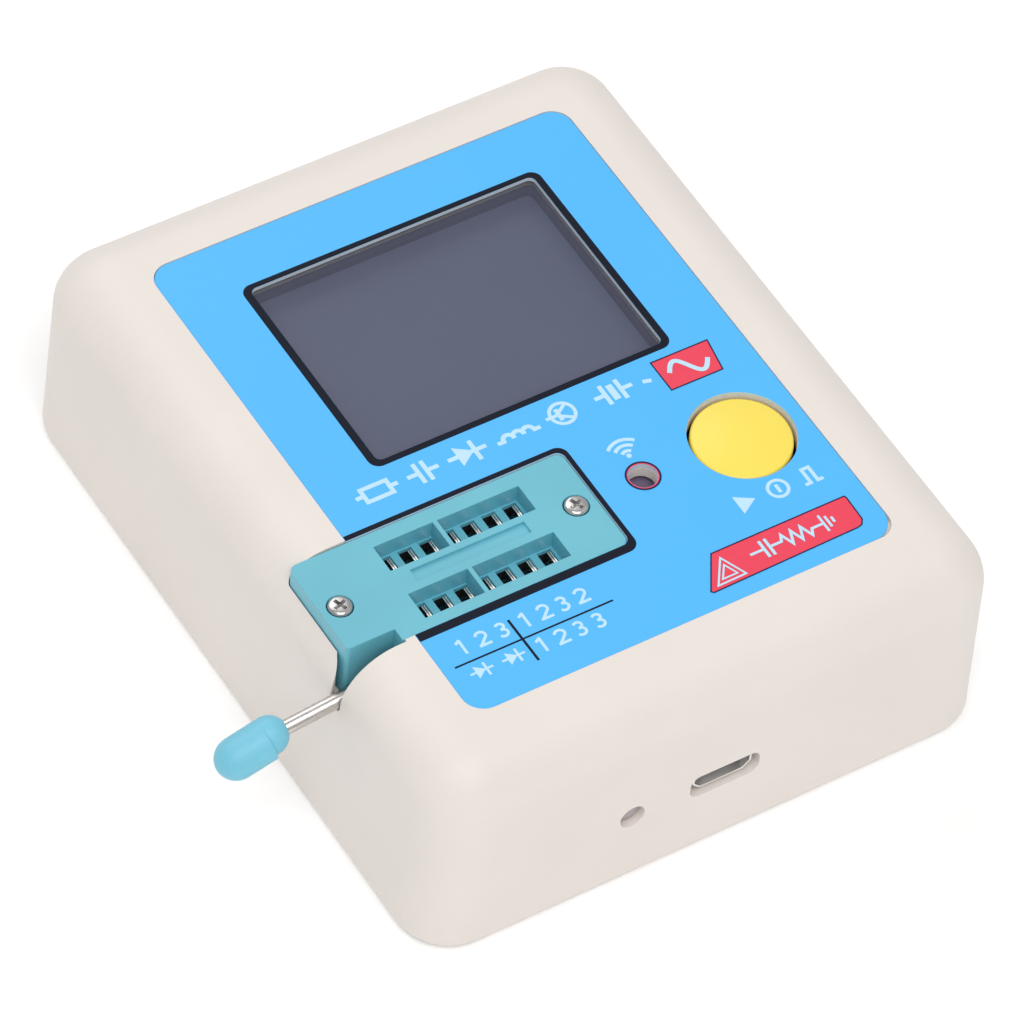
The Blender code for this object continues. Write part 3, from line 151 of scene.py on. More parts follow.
class Tree:
    """A material's node tree, with short calls for the nodes that these materials use."""

    def __init__(self, name):
        self.material = bpy.data.materials.new(name)
        self.material.use_nodes = True
        self.nodes = self.material.node_tree.nodes
        self.links = self.material.node_tree.links
        self.shader = self.nodes["Principled BSDF"]
        self.coords = self.nodes.new("ShaderNodeTexCoord").outputs["Object"]

    def set(self, **values):
        """Sets plain numbers and colours on the shader's own sockets."""
        for key, value in values.items():
            socket = self.shader.inputs[key.replace("_", " ")]
            socket.default_value = (*value, 1.0) if isinstance(value, tuple) else value

    def link(self, output, name):
        self.links.new(output, self.shader.inputs[name])

    def stretch(self, scale):
        """Object coordinates with their own scale on each axis."""
        mapping = self.nodes.new("ShaderNodeMapping")
        mapping.inputs["Scale"].default_value = scale
        self.links.new(self.coords, mapping.inputs["Vector"])
        return mapping.outputs["Vector"]

    def noise(self, size_mm, detail=2.0, roughness=0.5, vector=None):
        """Noise whose features are about size_mm across. Its output is 0 to 1."""
        made = self.nodes.new("ShaderNodeTexNoise")
        made.inputs["Scale"].default_value = 1.0 / (size_mm * MM)
        made.inputs["Detail"].default_value = detail
        made.inputs["Roughness"].default_value = roughness
        self.links.new(vector or self.coords, made.inputs["Vector"])
        return made.outputs["Fac"]

    def cells(self, size_mm):
        made = self.nodes.new("ShaderNodeTexVoronoi")
        made.inputs["Scale"].default_value = 1.0 / (size_mm * MM)
        self.links.new(self.coords, made.inputs["Vector"])
        return made.outputs["Distance"]

    def remap(self, value, low, high, to_low=0.0, to_high=1.0):
        made = self.nodes.new("ShaderNodeMapRange")
        for name, number in (("From Min", low), ("From Max", high), ("To Min", to_low), ("To Max", to_high)):
            made.inputs[name].default_value = number
        self.links.new(value, made.inputs["Value"])
        return made.outputs["Result"]

    def blend(self, amount, first, second):
        """A colour between first and second. Either is a colour or a socket."""
        made = self.nodes.new("ShaderNodeMix")
        made.data_type = "RGBA"
        self.links.new(amount, made.inputs["Factor"])
        for name, value in (("A", first), ("B", second)):
            socket = [s for s in made.inputs if s.name == name and s.type == "RGBA"][0]
            if isinstance(value, tuple):
                socket.default_value = (*value, 1.0)
            else:
                self.links.new(value, socket)
        return [s for s in made.outputs if s.type == "RGBA"][0]

    def math(self, operation, first, second):
        made = self.nodes.new("ShaderNodeMath")
        made.operation = operation
        for socket, value in zip(made.inputs, (first, second)):
            if isinstance(value, (int, float)):
                socket.default_value = value
            else:
                self.links.new(value, socket)
        return made.outputs["Value"]

    def bump(self, height, depth_mm, strength=1.0):
        made = self.nodes.new("ShaderNodeBump")
        made.inputs["Distance"].default_value = depth_mm * MM
        made.inputs["Strength"].default_value = strength
        self.links.new(height, made.inputs["Height"])
        self.link(made.outputs["Normal"], "Normal")


def shade(colour, factor):
    return tuple(min(1.0, c * factor) for c in colour)


def moulded(name, colour, roughness, grain_mm=0.35, grain_depth=0.012, mottle=0.03, spread=0.05, **values):
    """Injection-moulded plastic: spark-eroded grain, faint flow mottling and uneven gloss."""
    tree = Tree(name)
    broad = tree.noise(14.0, 3.0)
    fine = tree.noise(grain_mm, 2.0, 0.6)
    pits = tree.cells(grain_mm * 1.6)
    grain = tree.math("ADD", fine, tree.math("MULTIPLY", pits, 0.5))
    mixed = tree.math("ADD", tree.math("MULTIPLY", broad, 0.8), tree.math("MULTIPLY", fine, 0.2))
    tree.link(tree.blend(tree.remap(mixed, 0.3, 0.7), shade(colour, 1 - mottle), shade(colour, 1 + mottle)),
              "Base Color")
    tree.link(tree.remap(fine, 0.3, 0.7, roughness - spread, roughness + spread), "Roughness")
    tree.bump(grain, grain_depth)
    tree.set(**values)
    return tree.material


def brushed(name, colour, roughness, stretch=(1.0, 1.0, 1.0), depth=0.003, stain=0.12):
    """Drawn or stamped metal: fine marks along one direction, and uneven tarnish."""
    tree = Tree(name)
    marks = tree.noise(0.12, 4.0, 0.7, tree.stretch(stretch))
    cloud = tree.noise(2.2, 4.0, 0.6)
    tree.link(tree.blend(tree.remap(cloud, 0.35, 0.7), colour, shade(colour, 1 - stain)), "Base Color")
    tree.link(tree.remap(tree.math("ADD", marks, cloud), 0.6, 1.4, roughness * 0.6, roughness * 1.5), "Roughness")
    tree.bump(marks, depth)
    tree.set(Metallic=1.0)
    return tree.material


def ink(name, colour, roughness=0.42, gloss=0.5):
    """Screen-printed ink: thin, slightly uneven cover over the film's own grain."""
    tree = Tree(name)
    dots = tree.noise(0.16, 3.0, 0.7)
    cover = tree.noise(1.1, 3.0)
    mixed = tree.math("ADD", tree.math("MULTIPLY", dots, 0.6), tree.math("MULTIPLY", cover, 0.4))
    tree.link(tree.blend(tree.remap(mixed, 0.3, 0.7), shade(colour, 0.93), shade(colour, 1.05)), "Base Color")
    tree.link(tree.remap(dots, 0.3, 0.7, roughness - 0.05, roughness + 0.05), "Roughness")
    tree.bump(dots, 0.004)
    tree.set(Specular_IOR_Level=gloss)
    return tree.material


# ---- materials

CREAM = (0.795, 0.735, 0.685)
TEAL = (0.150, 0.492, 0.605)

MATERIALS = {
    "case_plastic": moulded("case_plastic", CREAM, 0.50, 0.32, 0.010, 0.018),
    "panel_film": moulded("panel_film", (0.078, 0.485, 0.970), 0.40, 0.22, 0.003, 0.012),
    "socket_plastic": moulded("socket_plastic", TEAL, 0.40, 0.28, 0.012, 0.05),
    "knob_vinyl": moulded("knob_vinyl", (0.185, 0.560, 0.720), 0.46, 0.30, 0.030, 0.06),
    "button_plastic": moulded("button_plastic", (0.960, 0.760, 0.110), 0.34, 0.45, 0.005, 0.03),
    "black_plastic": moulded("black_plastic", (0.022, 0.022, 0.024), 0.42, 0.25, 0.010, 0.25),
    "white_plastic": moulded("white_plastic", (0.780, 0.775, 0.750), 0.42, 0.40, 0.008, 0.03),
    "tinned_metal": brushed("tinned_metal", (0.700, 0.665, 0.640), 0.26, (0.08, 1.0, 1.0)),
    "screw_steel": brushed("screw_steel", (0.660, 0.645, 0.640), 0.20, (1.0, 1.0, 1.0), 0.004, 0.22),
    "contact_metal": brushed("contact_metal", (0.780, 0.755, 0.715), 0.22, (1.0, 1.0, 0.1)),
}


def make_window_material():
    """Lightly smoked acrylic. Rubbing marks and dust vary its gloss."""
    tree = Tree("window_clear")
    cloud = tree.noise(9.0, 3.0)
    marks = tree.noise(0.5, 5.0, 0.7, tree.stretch((1.0, 0.12, 1.0)))
    tree.link(tree.blend(tree.remap(cloud, 0.3, 0.7), (0.098, 0.103, 0.150), (0.104, 0.110, 0.158)), "Base Color")
    tree.link(tree.remap(marks, 0.35, 0.75, 0.30, 0.36), "Roughness")
    tree.set(Alpha=0.32, Specular_IOR_Level=0.20)
    tree.material.blend_method = "BLEND"
    MATERIALS["window_clear"] = tree.material


def clouded(name, size_mm, detail, first, second, dull, glossy):
    """An even face with a soft cloud of two close colours in it."""
    tree = Tree(name)
    cloud = tree.noise(size_mm, detail)
    tree.link(tree.blend(tree.remap(cloud, 0.3, 0.7), first, second), "Base Color")
    tree.link(tree.remap(cloud, 0.3, 0.7, dull, glossy), "Roughness")
    return tree.material


def make_laminate_material():
    """Green solder mask over copper tracks, with a faint glass weave."""
    tree = Tree("board_laminate")
    tracks = tree.nodes.new("ShaderNodeTexBrick")
    tracks.inputs["Scale"].default_value = 1.0 / (3.0 * MM)
    tracks.inputs["Mortar Size"].default_value = 0.06
    tree.links.new(tree.coords, tracks.inputs["Vector"])
    weave = tree.noise(0.25, 3.0)
    base = tree.blend(tree.remap(weave, 0.3, 0.7), (0.010, 0.110, 0.045), (0.016, 0.150, 0.062))
    tree.link(tree.blend(tree.remap(tracks.outputs["Fac"], 0.0, 1.0), base, (0.030, 0.215, 0.085)), "Base Color")
    tree.link(tree.remap(weave, 0.3, 0.7, 0.32, 0.46), "Roughness")
    tree.bump(weave, 0.006)
    MATERIALS["board_laminate"] = tree.material


def make_ribbon_material():
    """Amber polyimide film with copper conductors showing through."""
    tree = Tree("ribbon_film")
    wave = tree.nodes.new("ShaderNodeTexWave")
    wave.bands_direction = "Y"
    wave.inputs["Scale"].default_value = 0.3 / MM
    wave.inputs["Distortion"].default_value = 0.2
    tree.links.new(tree.coords, wave.inputs["Vector"])
    tree.link(tree.blend(tree.remap(wave.outputs["Fac"], 0.4, 0.6), (0.520, 0.230, 0.035), (0.640, 0.330, 0.080)),
              "Base Color")
    tree.link(tree.remap(tree.noise(0.6), 0.3, 0.7, 0.28, 0.42), "Roughness")
    MATERIALS["ribbon_film"] = tree.material


def make_foil_material():
    """Crinkled pouch foil."""
    tree = Tree("cell_foil")
    folds = tree.noise(2.4, 4.0, 0.6)
    tree.link(tree.blend(tree.remap(folds, 0.3, 0.7), (0.540, 0.550, 0.570), (0.660, 0.665, 0.680)), "Base Color")
    tree.link(tree.remap(folds, 0.3, 0.7, 0.24, 0.42), "Roughness")
    tree.bump(folds, 0.12)
    tree.set(Metallic=1.0)
    MATERIALS["cell_foil"] = tree.material


make_window_material()
make_laminate_material()
make_ribbon_material()
make_foil_material()
MATERIALS["lcd_glass"] = clouded("lcd_glass", 12.0, 2.0, (0.272, 0.312, 0.470), (0.282, 0.323, 0.486), 0.30, 0.36)
MATERIALS["lamp_resin"] = clouded("lamp_resin", 0.7, 3.0, (0.370, 0.315, 0.335), (0.430, 0.370, 0.390), 0.12, 0.25)
MATERIALS["lead_red"] = moulded("lead_red", (0.520, 0.018, 0.016), 0.42, 0.30, 0.010, 0.12)
MATERIALS["lead_black"] = moulded("lead_black", (0.020, 0.020, 0.021), 0.45, 0.30, 0.010, 0.25)

WHITE_INK = ink("white_ink", (0.520, 0.780, 0.930))
NAVY_INK = ink("navy_ink", (0.006, 0.009, 0.020), 0.45, 0.15)
LINE_INK = ink("line_ink", (0.008, 0.016, 0.060), 0.45, 0.15)
RED_INK = ink("red_ink", (0.850, 0.050, 0.098))
# pale colour on the film's cut edges: a painted highlight for the bright line along them
FILM_EDGE_HIGHLIGHT = moulded("film_edge_painted_highlight", (0.640, 0.740, 0.820), 0.40, 0.22, 0.002, 0.03)
DOME = moulded("receiver_dome", (0.170, 0.135, 0.220), 0.30, 0.50, 0.004, 0.08)
PORT_METAL = brushed("port_metal", (0.860, 0.845, 0.830), 0.42, (0.2, 1.0, 1.0), 0.002, 0.06)


# ---- outlines

def arc(centre, radius, start, end, steps):
    """Points on an arc, in degrees, both ends included."""
    points = []
    for i in range(steps + 1):
        angle = math.radians(start + (end - start) * i / steps)
        points.append((centre[0] + radius * math.cos(angle), centre[1] + radius * math.sin(angle)))
    return points


def rounded(size_x, size_y, radius, steps, centre=(0.0, 0.0)):
    """A rounded rectangle, counter-clockwise. radius is one number, or one for each corner."""
    radii = radius if isinstance(radius, tuple) else (radius,) * 4
    points = []
    for (sign_x, sign_y, start), r in zip(((1, 1, 0), (-1, 1, 90), (-1, -1, 180), (1, -1, 270)), radii):
        middle = (centre[0] + sign_x * (size_x / 2 - r), centre[1] + sign_y * (size_y / 2 - r))
        points += arc(middle, r, start, start + 90, steps)
    return points


def socket_plan(inset=0.0):
    """The socket's plan: a rectangle with rounded corners and a notch at the front left."""
    low_x, high_x = SOCKET_X[0] + inset, SOCKET_X[1] - inset
    low_y, high_y = SOCKET_Y[0] + inset, SOCKET_Y[1] - inset
    notch_x, notch_y = NOTCH[0] + inset, NOTCH[1] + inset
    big, small = SOCKET_CORNER - inset, NOTCH_CORNER - inset
    points = [(notch_x, low_y)]
    points += arc((high_x - big, low_y + big), big, -90, 0, 8)
    points += arc((high_x - big, high_y - big), big, 0, 90, 8)
    points += arc((low_x + big, high_y - big), big, 90, 180, 8)
    points += arc((low_x + small, notch_y + small), small, 180, 270, 6)
    points.append((notch_x, notch_y))
    return points


def socket_hole(gap, left):
    """Plan of the opening round the socket, with an even gap, from a chosen left end."""
    right, low, high = SOCKET_X[1] + gap, SOCKET_Y[0] - gap, SOCKET_Y[1] + gap
    return rounded(right - left, high - low, SOCKET_CORNER + gap, 8, ((left + right) / 2, (low + high) / 2))


def circle(centre, radius, steps):
    return arc(centre, radius, 0, 360, steps)[:-1]


def rectangle(low_x, low_y, high_x, high_y):
    return [(low_x, low_y), (high_x, low_y), (high_x, high_y), (low_x, high_y)]


def grown(size, gap):
    return size[0] + 2 * gap, size[1] + 2 * gap


def level(outline, z):
    return [(x, y, z) for x, y in outline]


# ---- mesh building

def add_loft(bm, rings):
    """Skins equal rings of points into one closed body with flat ends."""
    loops = [[bm.verts.new(point) for point in ring] for ring in rings]
    count = len(loops[0])
    for lower, upper in zip(loops, loops[1:]):
        for i in range(count):
            j = (i + 1) % count
            bm.faces.new((lower[i], lower[j], upper[j], upper[i]))
    bm.faces.new(list(reversed(loops[0])))
    bm.faces.new(loops[-1])


def add_prism(bm, outline, low_z, high_z):
    add_loft(bm, [level(outline, low_z), level(outline, high_z)])


def add_turned(bm, profile, steps, centre=(0.0, 0.0)):
    """A body turned about Z from (radius, z) points."""
    add_loft(bm, [level(circle(centre, radius, steps), z) for radius, z in profile])


def add_post(bm, centre, radius, low, high, steps):
    add_turned(bm, [(radius, low), (radius, high)], steps, centre)


def add_band(bm, outer, inner, low, high):
    """A closed ring with upright walls between two outlines with equal numbers of points."""
    rings = [level(outer, low), level(outer, high), level(inner, high), level(inner, low)]
    loops = [[bm.verts.new(point) for point in ring] for ring in rings]
    count = len(outer)
    for k in range(4):
        for i in range(count):
            j = (i + 1) % count
            bm.faces.new((loops[k][i], loops[k][j], loops[(k + 1) % 4][j], loops[(k + 1) % 4][i]))


def new_object(name, bm, material=None):
    bmesh.ops.recalc_face_normals(bm, faces=bm.faces)
    mesh = bpy.data.meshes.new(name)
    bm.to_mesh(mesh)
    bm.free()
    made = bpy.data.objects.new(name, mesh)
    bpy.context.scene.collection.objects.link(made)
    if material:
        mesh.materials.append(material)
    return made


def apply_modifiers(made):
    """Replaces an object's mesh by its evaluated one."""
    bpy.context.view_layer.update()
    graph = bpy.context.evaluated_depsgraph_get()
    mesh = bpy.data.meshes.new_from_object(made.evaluated_get(graph))
    made.modifiers.clear()
    old = made.data
    made.data = mesh
    bpy.data.meshes.remove(old)


def combine(target, operation, bm):
    """Cuts away or adds a body."""
    other = new_object(target.name + "_other", bm)
    step = target.modifiers.new("step", "BOOLEAN")
    step.operation = operation
    step.solver = "EXACT"
    step.object = other
    apply_modifiers(target)
    mesh = other.data
    bpy.data.objects.remove(other)
    bpy.data.meshes.remove(mesh)


def clean(made, angle=0.5):
    """Welds, and merges faces that lie in one plane."""
    bm = bmesh.new()
    bm.from_mesh(made.data)
    bmesh.ops.remove_doubles(bm, verts=bm.verts, dist=0.002 * MM)
    bmesh.ops.dissolve_limit(bm, angle_limit=math.radians(angle), verts=bm.verts, edges=bm.edges)
    bm.to_mesh(made.data)
    bm.free()


def round_edges(made, width, segments, wanted=None, angle=35):
    """Rounds the sharp edges for which wanted(middle of the edge) is true."""
    bm = bmesh.new()
    bm.from_mesh(made.data)
    chosen = []
    for edge in bm.edges:
        if len(edge.link_faces) != 2:
            continue
        if edge.calc_face_angle(0.0) < math.radians(angle):
            continue
        middle = (edge.verts[0].co + edge.verts[1].co) / 2
        if wanted is None or wanted(middle):
            chosen.append(edge)
    if chosen:
        bmesh.ops.bevel(bm, geom=chosen, offset=width, offset_type="OFFSET", segments=segments, profile=0.5,
                        affect="EDGES", clamp_overlap=True, miter_outer="SHARP", miter_inner="SHARP")
    bm.to_mesh(made.data)
    bm.free()


def smooth(made, angle=35):
    """Smooth shading, with creases where faces meet at more than angle, and flat faces kept flat."""
    made.data.shade_smooth()
    made.data.set_sharp_from_angle(angle=math.radians(angle))
    weighted = made.modifiers.new("weighted", "WEIGHTED_NORMAL")
    weighted.keep_sharp = True
    weighted.weight = 80
    apply_modifiers(made)


def install(made, body, slot, *nodes):
    """Puts a finished piece on its body, with its slot and the CAD nodes that it stands for."""
    if not made.data.materials:
        made.data.materials.append(MATERIALS[slot])
    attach(made, body)
    if nodes:
        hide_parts(*nodes)


def make_piece(name, bm, body, slot, node, angle, steps=(), place=None):
    """A piece from its own mesh, cut or added to in steps, moved to its place and put on its body."""
    made = new_object(name, bm, MATERIALS[slot])
    for operation, other in steps:
        combine(made, operation, other)
    if place is not None:
        made.data.transform(place)
    smooth(made, angle)
    install(made, body, slot, node)


def refined(node, name, body, slot, width=0.12 * MM, segments=2, wanted=None, angle=35):
    """A finer copy of a CAD node, with its sharp edges rounded."""
    source = NODES[node]
    made = bpy.data.objects.new(name, source.data.copy())
    made.data.materials.clear()
    bpy.context.scene.collection.objects.link(made)
    clean(made)
    round_edges(made, width, segments, wanted, angle)
    smooth(made, 32)
    install(made, body, slot, node)
    return made


# ---- case

def case_rings(inward, foot, steps, corner_steps):
    """Rings of the case's surface, moved inward by the wall, from its foot to its flat top."""
    rings = []
    corner = CASE_CORNER - inward * 0.8
    top = TOP - inward
    rounding = CASE_ROUNDING - inward

    def ring(inset, z, radius):
        side = 2 * (inset + inward)
        rings.append(level(rounded(CASE_X - side, CASE_Y - side, radius, corner_steps), z))

    if foot:
        for i in range(5):
            angle = math.radians(22.5 * i)
            ring(foot * (1 - math.sin(angle)), foot * (1 - math.cos(angle)), corner)
    else:
        ring(0.0, 0.0, corner)
    for i in range(steps + 1):
        angle = math.radians(90 * i / steps)
        share = 1 - math.cos(angle)
        inset = CASE_DRAFT + rounding * share
        ring(inset, top - rounding * (1 - math.sin(angle)), corner + (CROWN_CORNER - corner) * share)
    return rings


def shell_posts():
    bm = bmesh.new()
    for places, radius, (low, high), _, _ in POSTS:
        for x, y in places:
            add_post(bm, (x * MM, y * MM), radius * MM, low * MM, high * MM, 24)
    return bm


def film_recess():
    bm = bmesh.new()
    corners = (FILM_CORNER,) * 3 + (FILM_CORNER - 0.3 * MM,)
    add_prism(bm, rounded(*grown(LABEL_SIZE, FILM_GAP), corners, 8), PANEL_FLOOR, OVER)
    return bm


def window_pocket():
    bm = bmesh.new()
    outline = rounded(*grown(WINDOW_SIZE, POCKET_GAP), 1.5 * MM, 5, WINDOW_CENTRE)
    add_prism(bm, outline, WINDOW_LOW.z - POCKET_GAP, TOP)
    return bm


def through_cuts():
    """The openings for the display, socket, button and receiver, and the bores in the posts."""
    bm = bmesh.new()
    add_prism(bm, rounded(*grown(VIEW_SIZE, POCKET_GAP), VIEW_CORNER, 5, VIEW_CENTRE), HOLE_FOOT, TOP)
    add_prism(bm, socket_hole(OPENING_GAP, SOCKET_X[0] - OPENING_GAP), 14.1 * MM, OVER)
    add_post(bm, BUTTON_CENTRE, BUTTON_HOLE, HOLE_FOOT, OVER, 72)
    add_post(bm, IR_CENTRE, IR_HOLE, HOLE_FOOT, OVER, 48)
    for places, _, _, bore, (low, high) in POSTS:
        for x, y in places:
            add_post(bm, (x * MM, y * MM), bore * MM, low * MM, high * MM, 24)
    return bm


def slot_cut():
    """The arm's slot: round at the bottom, from the case's side to the socket's notch."""
    y = LEVER_AXIS[1]
    outline = arc((y, SLOT_Z), SLOT_HALF, 180, 360, 24) + [(y + SLOT_HALF, OVER), (y - SLOT_HALF, OVER)]
    bm = bmesh.new()
    add_loft(bm, [[(x, py, pz) for py, pz in outline] for x in (SHELL_LOW.x - 1.0 * MM, NOTCH[0] + 0.2 * MM)])
    return bm


def slot_flare():
    """The soft corner between the slot's flank and the socket's opening."""
    bm = bmesh.new()
    add_prism(bm, [(x * MM, y * MM) for x, y in SLOT_FLARE], SLOT_Z - SLOT_HALF, OVER)
    return bm


def front_cuts():
    """The lamp's hole and the charging port's opening, built along Z and laid down along Y."""
    bm = bmesh.new()
    depth = (-CASE_Y / 2 - 1.0 * MM, -CASE_Y / 2 + 4.0 * MM)
    add_post(bm, LAMP_PLACE, LAMP_HOLE, *depth, 48)
    add_prism(bm, rounded(*PORT_HOLE, 8, PORT_PLACE), *depth)
    bmesh.ops.transform(bm, matrix=SWAP_YZ, verts=bm.verts)
    return bm


def on_opening(point):
    """True on the outside edges of the holes in the shell, which are slightly rounded."""
    x, y, z = point
    front = y < -CASE_Y / 2 + 0.8 * MM and z < 15.0 * MM
    beside = SOCKET_Y[0] - 1.6 * MM < y < SOCKET_Y[1] + 0.4 * MM
    side = z > 18.0 * MM and x < LABEL_LOW.x and beside and z > case_height(x) - 0.4 * MM
    foot = z < 0.1 * MM
    return not foot and (front or side)


def case_height(x):
    """Height of the case's rounded top edge above a place near its left side."""
    middle = -CASE_X / 2 + CASE_DRAFT + CASE_ROUNDING
    reach = min(1.0, max(0.0, (middle - x) / CASE_ROUNDING))
    return TOP - CASE_ROUNDING * (1 - math.sqrt(1 - reach * reach))


def make_case():
    outer = case_rings(0.0, CASE_FOOT, 20, 14)
    inner = case_rings(WALL, 0.0, 5, 14)
    bm = bmesh.new()
    add_loft(bm, list(reversed(inner)) + outer)
    shell = new_object("case_shell", bm, MATERIALS["case_plastic"])
    combine(shell, "UNION", shell_posts())
    for cutter in (film_recess(), window_pocket(), through_cuts(), slot_cut(), slot_flare(), front_cuts()):
        combine(shell, "DIFFERENCE", cutter)
    clean(shell, 0.05)
    round_edges(shell, 0.14 * MM, 3, on_opening, 30)
    smooth(shell, 40)
    install(shell, "case", "case_plastic", "top_shell")


def make_bottom():
    refined("bottom_cover", "bottom_panel", "case", "case_plastic", 0.25 * MM, 2)


# ---- film and printing

def make_film():
    """The front panel film, which fills its recess, with its openings."""
    corners = (FILM_CORNER,) * 3 + (FILM_CORNER + 0.5 * MM,)
    low, edge = WINDOW_HIGH.z + INK, 0.06 * MM
    outline = rounded(*LABEL_SIZE, corners, 12)
    small = rounded(*grown(LABEL_SIZE, -edge), corners, 12)
    bm = bmesh.new()
    add_loft(bm, [level(outline, low), level(outline, FILM_TOP - edge), level(small, FILM_TOP)])
    film = new_object("panel_film", bm, MATERIALS["panel_film"])
    bm = bmesh.new()
    under = low - 1.0 * MM
    add_prism(bm, rounded(*VIEW_SIZE, VIEW_CORNER, 8, VIEW_CENTRE), under, OVER)
    add_prism(bm, socket_hole(FILM_OPENING_GAP, SHELL_LOW.x), under, OVER)
    add_post(bm, BUTTON_CENTRE, BUTTON_HOLE + 0.05 * MM, under, OVER, 72)
    add_post(bm, IR_CENTRE, IR_HOLE + 0.03 * MM, under, OVER, 48)
    combine(film, "DIFFERENCE", bm)
    smooth(film, 30)
    # the side faces get the painted highlight colour, a bright line along the film's cut edges
    film.data.materials.append(FILM_EDGE_HIGHLIGHT)
    for face in film.data.polygons:
        if abs(face.normal.z) < 0.3:
            face.material_index = 1
    install(film, "case", "panel_film", "front_label")


class Print:
    """One colour of ink: flat shapes in mm, built as one thin body."""

    def __init__(self, name, material, layer=0):
        self.name, self.material = name, material
        self.low = FILM_TOP + layer * INK
        self.shapes = []

    def shape(self, outline):
        self.shapes.append([(x * MM, y * MM) for x, y in outline])

    def frame(self, outer, inner):
        """A closed band between two outlines with equal numbers of points."""
        self.shapes.append(([(x * MM, y * MM) for x, y in outer], [(x * MM, y * MM) for x, y in inner]))

    def stroke(self, points, width):
        """A line of even width with mitred corners."""
        left, right = [], []
        for i, point in enumerate(points):
            here = Vector(point)
            ahead = (Vector(points[min(i + 1, len(points) - 1)]) - here)
            behind = (here - Vector(points[max(i - 1, 0)]))
            first = behind.normalized() if behind.length else ahead.normalized()
            second = ahead.normalized() if ahead.length else first
            across = (first.orthogonal() + second.orthogonal()).normalized()
            reach = width / 2 / max(0.35, across.dot(first.orthogonal()))
            left.append(tuple(here + across * reach))
            right.append(tuple(here - across * reach))
        self.shape(right + left[::-1])

    def strokes(self, x, y, width, *lines):
        """Several lines, with their points relative to (x, y)."""
        for line in lines:
            self.stroke([(x + px, y + py) for px, py in line], width)

    def triangle(self, x, y, length, half):
        """A solid arrowhead that points to the right, from the middle of its left side."""
        self.shape([(x, y - half), (x + length, y), (x, y + half)])

    def ring(self, centre, radius, width, steps=40):
        self.frame(circle(centre, radius + width / 2, steps), circle(centre, radius - width / 2, steps))

    def outline(self, points, width):
        """A closed line of even width around a convex shape."""
        middle = sum((Vector(p) for p in points), Vector((0.0, 0.0))) / len(points)
        sides = {1: [], -1: []}
        count = len(points)
        for i in range(count):
            here = Vector(points[i])
            first = (here - Vector(points[i - 1])).normalized().orthogonal()
            second = (Vector(points[(i + 1) % count]) - here).normalized().orthogonal()
            if first.dot(here - middle) < 0:
                first, second = -first, -second
            across = (first + second).normalized()
            reach = width / 2 / max(0.35, across.dot(first))
            for side in sides:
                sides[side].append(tuple(here + across * reach * side))
        self.frame(sides[1], sides[-1])

    def build(self):
        """Shapes that overlap differ a little in height, so that no two faces coincide."""
        bm = bmesh.new()
        for number, made in enumerate(self.shapes):
            high = self.low + INK * (0.5 + 0.05 * (number % 10))
            if isinstance(made, tuple):
                add_band(bm, *made, self.low, high)
            else:
                add_prism(bm, made, self.low, high)
        install(new_object(self.name, bm, self.material), "case", "panel_film")


def lead(start, end):
    """A level line, as two points."""
    return (start, 0.0), (end, 0.0)


def upright(x, reach):
    """An upright line, as two points."""
    return (x, -reach), (x, reach)


def numeral(character):
    """The strokes of a plain numeral, in a box 0.7 wide and 1 high."""
    if character == "1":
        return [[(0.12, 0.78), (0.38, 0.97)], [(0.36, 1.0), (0.36, 0.0)]]
    if character == "2":
        return [arc((0.34, 0.69), 0.25, 165, -35, 10) + [(0.08, 0.06)], [(0.02, 0.08), (0.66, 0.08)]]
    return [arc((0.32, 0.73), 0.20, 150, -95, 9), arc((0.32, 0.29), 0.23, 100, -150, 10)]


def digits(name, text, x, y, height, spacing):
    """Plain numerals on the film. x and y are the left end of their baseline, in mm."""
    row = Print(name, WHITE_INK)
    wide = 1.18 * height
    for place, character in enumerate(text):
        for line in numeral(character):
            row.stroke([(x + place * spacing + px * wide, y + py * height) for px, py in line], 0.33)
    row.build()


def socket_border():
    """A dark band along three sides of the socket's opening, open to the left."""
    left, right, high, low = -26.65, 0.85, -7.6, -23.65
    inner_right, inner_high, inner_low = 0.27, -8.23, -22.57
    big, small = 1.3, 1.0
    outer = arc((right - big, high - big), big, 90, 0, 8) + arc((right - big, low + big), big, 0, -90, 8)
    inner = arc((inner_right - small, inner_low + small), small, -90, 0, 8)
    inner += arc((inner_right - small, inner_high - small), small, 0, 90, 8)
    return [(left, high)] + outer + [(left, low), (left, inner_low)] + inner + [(left, inner_high)]


def make_borders():
    """Dark lines round the display and the socket, and the pin chart's lines."""
    dark = Print("print_display_border", NAVY_INK)
    dark.frame(rounded(38.2, 28.9, 1.3, 8, (0.15, 13.34)), rounded(36.38, 27.46, 0.8, 8, (0.19, 13.39)))
    dark.build()
    dark = Print("print_socket_border", NAVY_INK)
    dark.shape(socket_border())
    dark.build()
    lines = Print("print_chart_lines", NAVY_INK)
    lines.stroke([(-25.24, -28.35), (-5.66, -28.40)], 0.22)
    lines.stroke([(-16.95, -25.48), (-16.86, -31.59)], 0.30)
    lines.build()


BADGE = [(15.5, -2.25), (22.8, -2.3), (22.1, -6.65), (15.5, -6.6)]
PLATE = [(7.0, -27.95), (24.0, -27.95), (24.15, -28.2), (24.05, -31.5), (23.6, -32.15), (23.0, -32.3),
         (4.45, -32.6), (4.2, -32.35)]
RECEIVER_PLACE = (6.3, -15.4)


def make_plates():
    """The red badge, the red plate and the rings round the receiver's hole."""
    red = Print("print_red", RED_INK)
    red.shape(BADGE)
    red.shape(PLATE)
    red.ring(RECEIVER_PLACE, 1.73, 0.14)
    red.build()
    line = Print("print_red_outline", LINE_INK, 1)
    line.outline(BADGE, 0.14)
    line.outline(PLATE, 0.14)
    line.build()
    line = Print("print_receiver_outline", LINE_INK, 1)
    line.ring(RECEIVER_PLACE, 1.90, 0.20)
    line.build()


